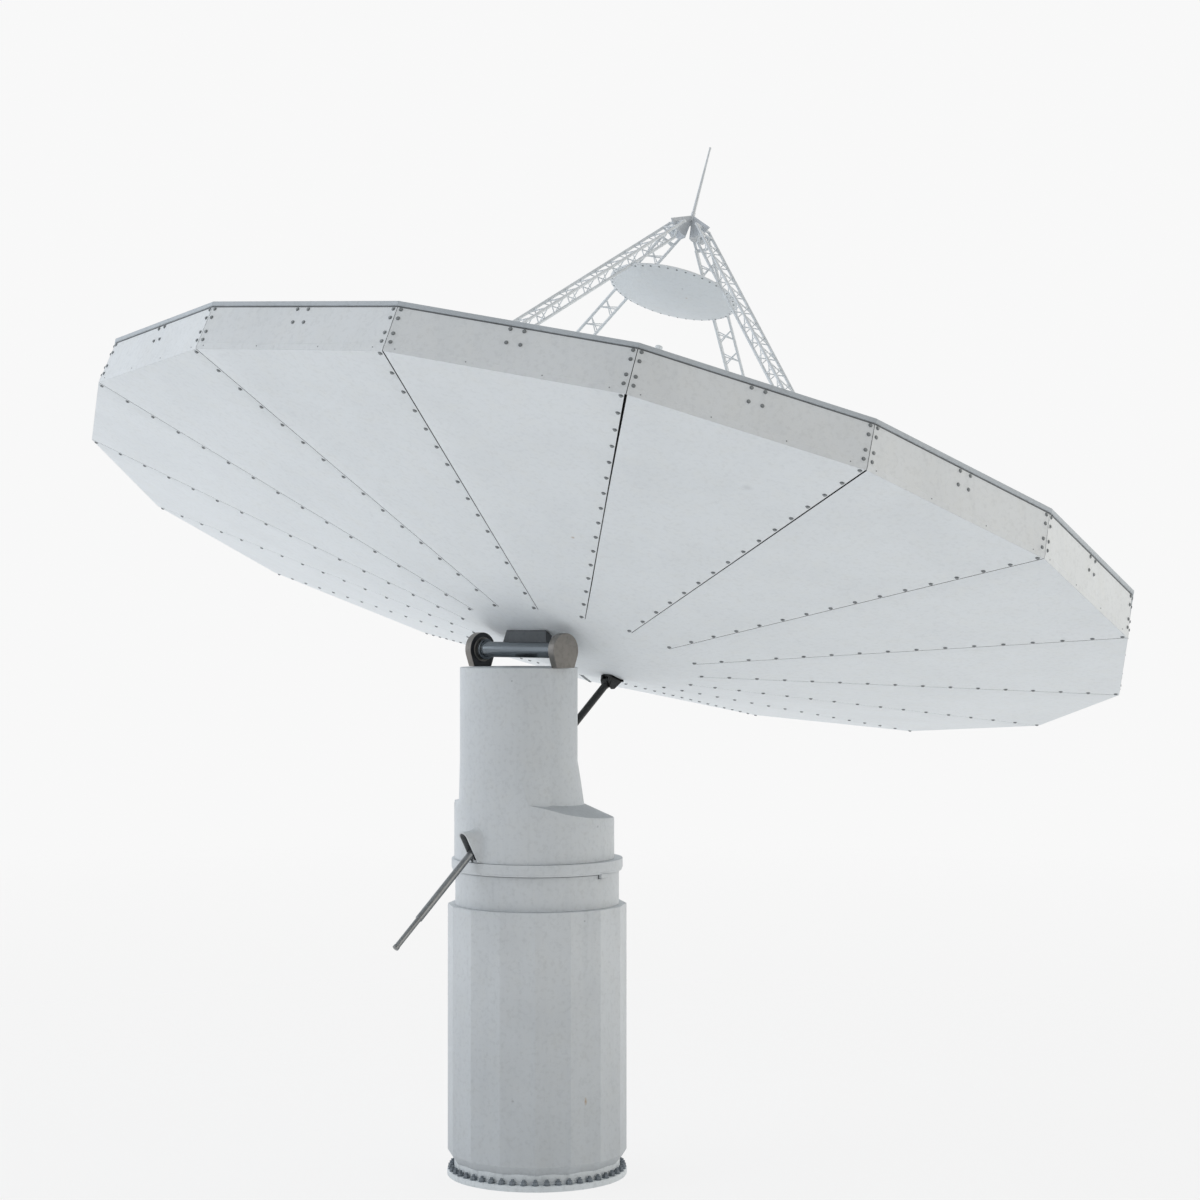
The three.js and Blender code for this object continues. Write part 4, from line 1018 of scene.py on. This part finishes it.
# ---- stage and light
def make_floor():
    """Round pale floor just under the base, which fades into the backdrop far from the object."""
    mesh = bpy.data.meshes.new("floor")
    sides = 96
    mesh.from_pydata(polygon(26.0, -0.001, sides), [], [tuple(range(sides))])
    material = bpy.data.materials.new("pale_floor")
    material.use_nodes = True
    tree = material.node_tree
    tree.nodes.clear()
    place = node(tree, "ShaderNodeTexCoord").outputs["Object"]
    length = node(tree, "ShaderNodeVectorMath", place, operation="LENGTH").outputs["Value"]
    fade = remap(tree, length, 4.0, 24.0, 0.0, 1.0)
    diffuse = node(tree, "ShaderNodeBsdfDiffuse", Color=(0.90, 0.90, 0.90, 1)).outputs[0]
    glow = node(tree, "ShaderNodeEmission", Color=(0.93, 0.93, 0.93, 1), Strength=1.0).outputs[0]
    clear = node(tree, "ShaderNodeBsdfTransparent").outputs[0]
    seen = node(tree, "ShaderNodeLightPath").outputs["Is Camera Ray"]
    soft = node(tree, "ShaderNodeMixShader", remap(tree, seen, 0.0, 1.0, 0.45, 0.88), diffuse,
                glow).outputs[0]
    node(tree, "ShaderNodeOutputMaterial", node(tree, "ShaderNodeMixShader", fade, soft, clear).outputs[0])
    mesh.materials.append(material)
    add_object("floor", mesh)


def make_sky():
    """Even pale backdrop; its light is bright and cool on the left, warmer on the right and dim in front."""
    world = bpy.data.worlds.new("studio")
    world.use_nodes = True
    bpy.context.scene.world = world
    tree = world.node_tree
    tree.nodes.clear()
    place = node(tree, "ShaderNodeTexCoord").outputs["Generated"]

    def towards(direction):
        return node(tree, "ShaderNodeVectorMath", place, direction, operation="DOT_PRODUCT").outputs["Value"]

    level = remap(tree, towards((AWAY.x, AWAY.y, 0.0)), -0.9, 0.45, 0.34, 1.12)
    side = remap(tree, towards((-AWAY.y, AWAY.x, 0.0)), -0.7, 0.7, 0.0, 1.0)
    colour = tint(tree, (1.17, 1.145, 1.10, 1), side, "MIX", (1.05, 1.09, 1.15, 1))
    overhead = remap(tree, towards((0.0, 0.0, 1.0)), 0.25, 1.0, 1.0, 0.62)
    strength = node(tree, "ShaderNodeMath", level, overhead, operation="MULTIPLY").outputs[0]
    light = node(tree, "ShaderNodeBackground", colour, strength).outputs[0]
    shown = node(tree, "ShaderNodeBackground", (0.94, 0.94, 0.94, 1), 1.0).outputs[0]
    seen = node(tree, "ShaderNodeLightPath").outputs["Is Camera Ray"]
    node(tree, "ShaderNodeOutputWorld", node(tree, "ShaderNodeMixShader", seen, light, shown).outputs[0])


def area_light(name, place, aim, size, power, colour):
    """Square soft light at place, aimed at a point."""
    data = bpy.data.lights.new(name, "AREA")
    data.size = size
    data.energy = power
    data.color = colour
    lamp = add_object(name, data)
    lamp.location = place
    lamp.rotation_mode = "QUATERNION"
    lamp.rotation_quaternion = (Vector(aim) - Vector(place)).to_track_quat("-Z", "Y")


make_floor()
make_sky()
area_light("key", (-14, 6, 11), (0, 0, 3.4), 11.0, 480, (0.96, 0.98, 1.0))
area_light("fill", (3, -15, 7), (0.5, 0, 3.6), 9.0, 210, (1.0, 0.965, 0.915))
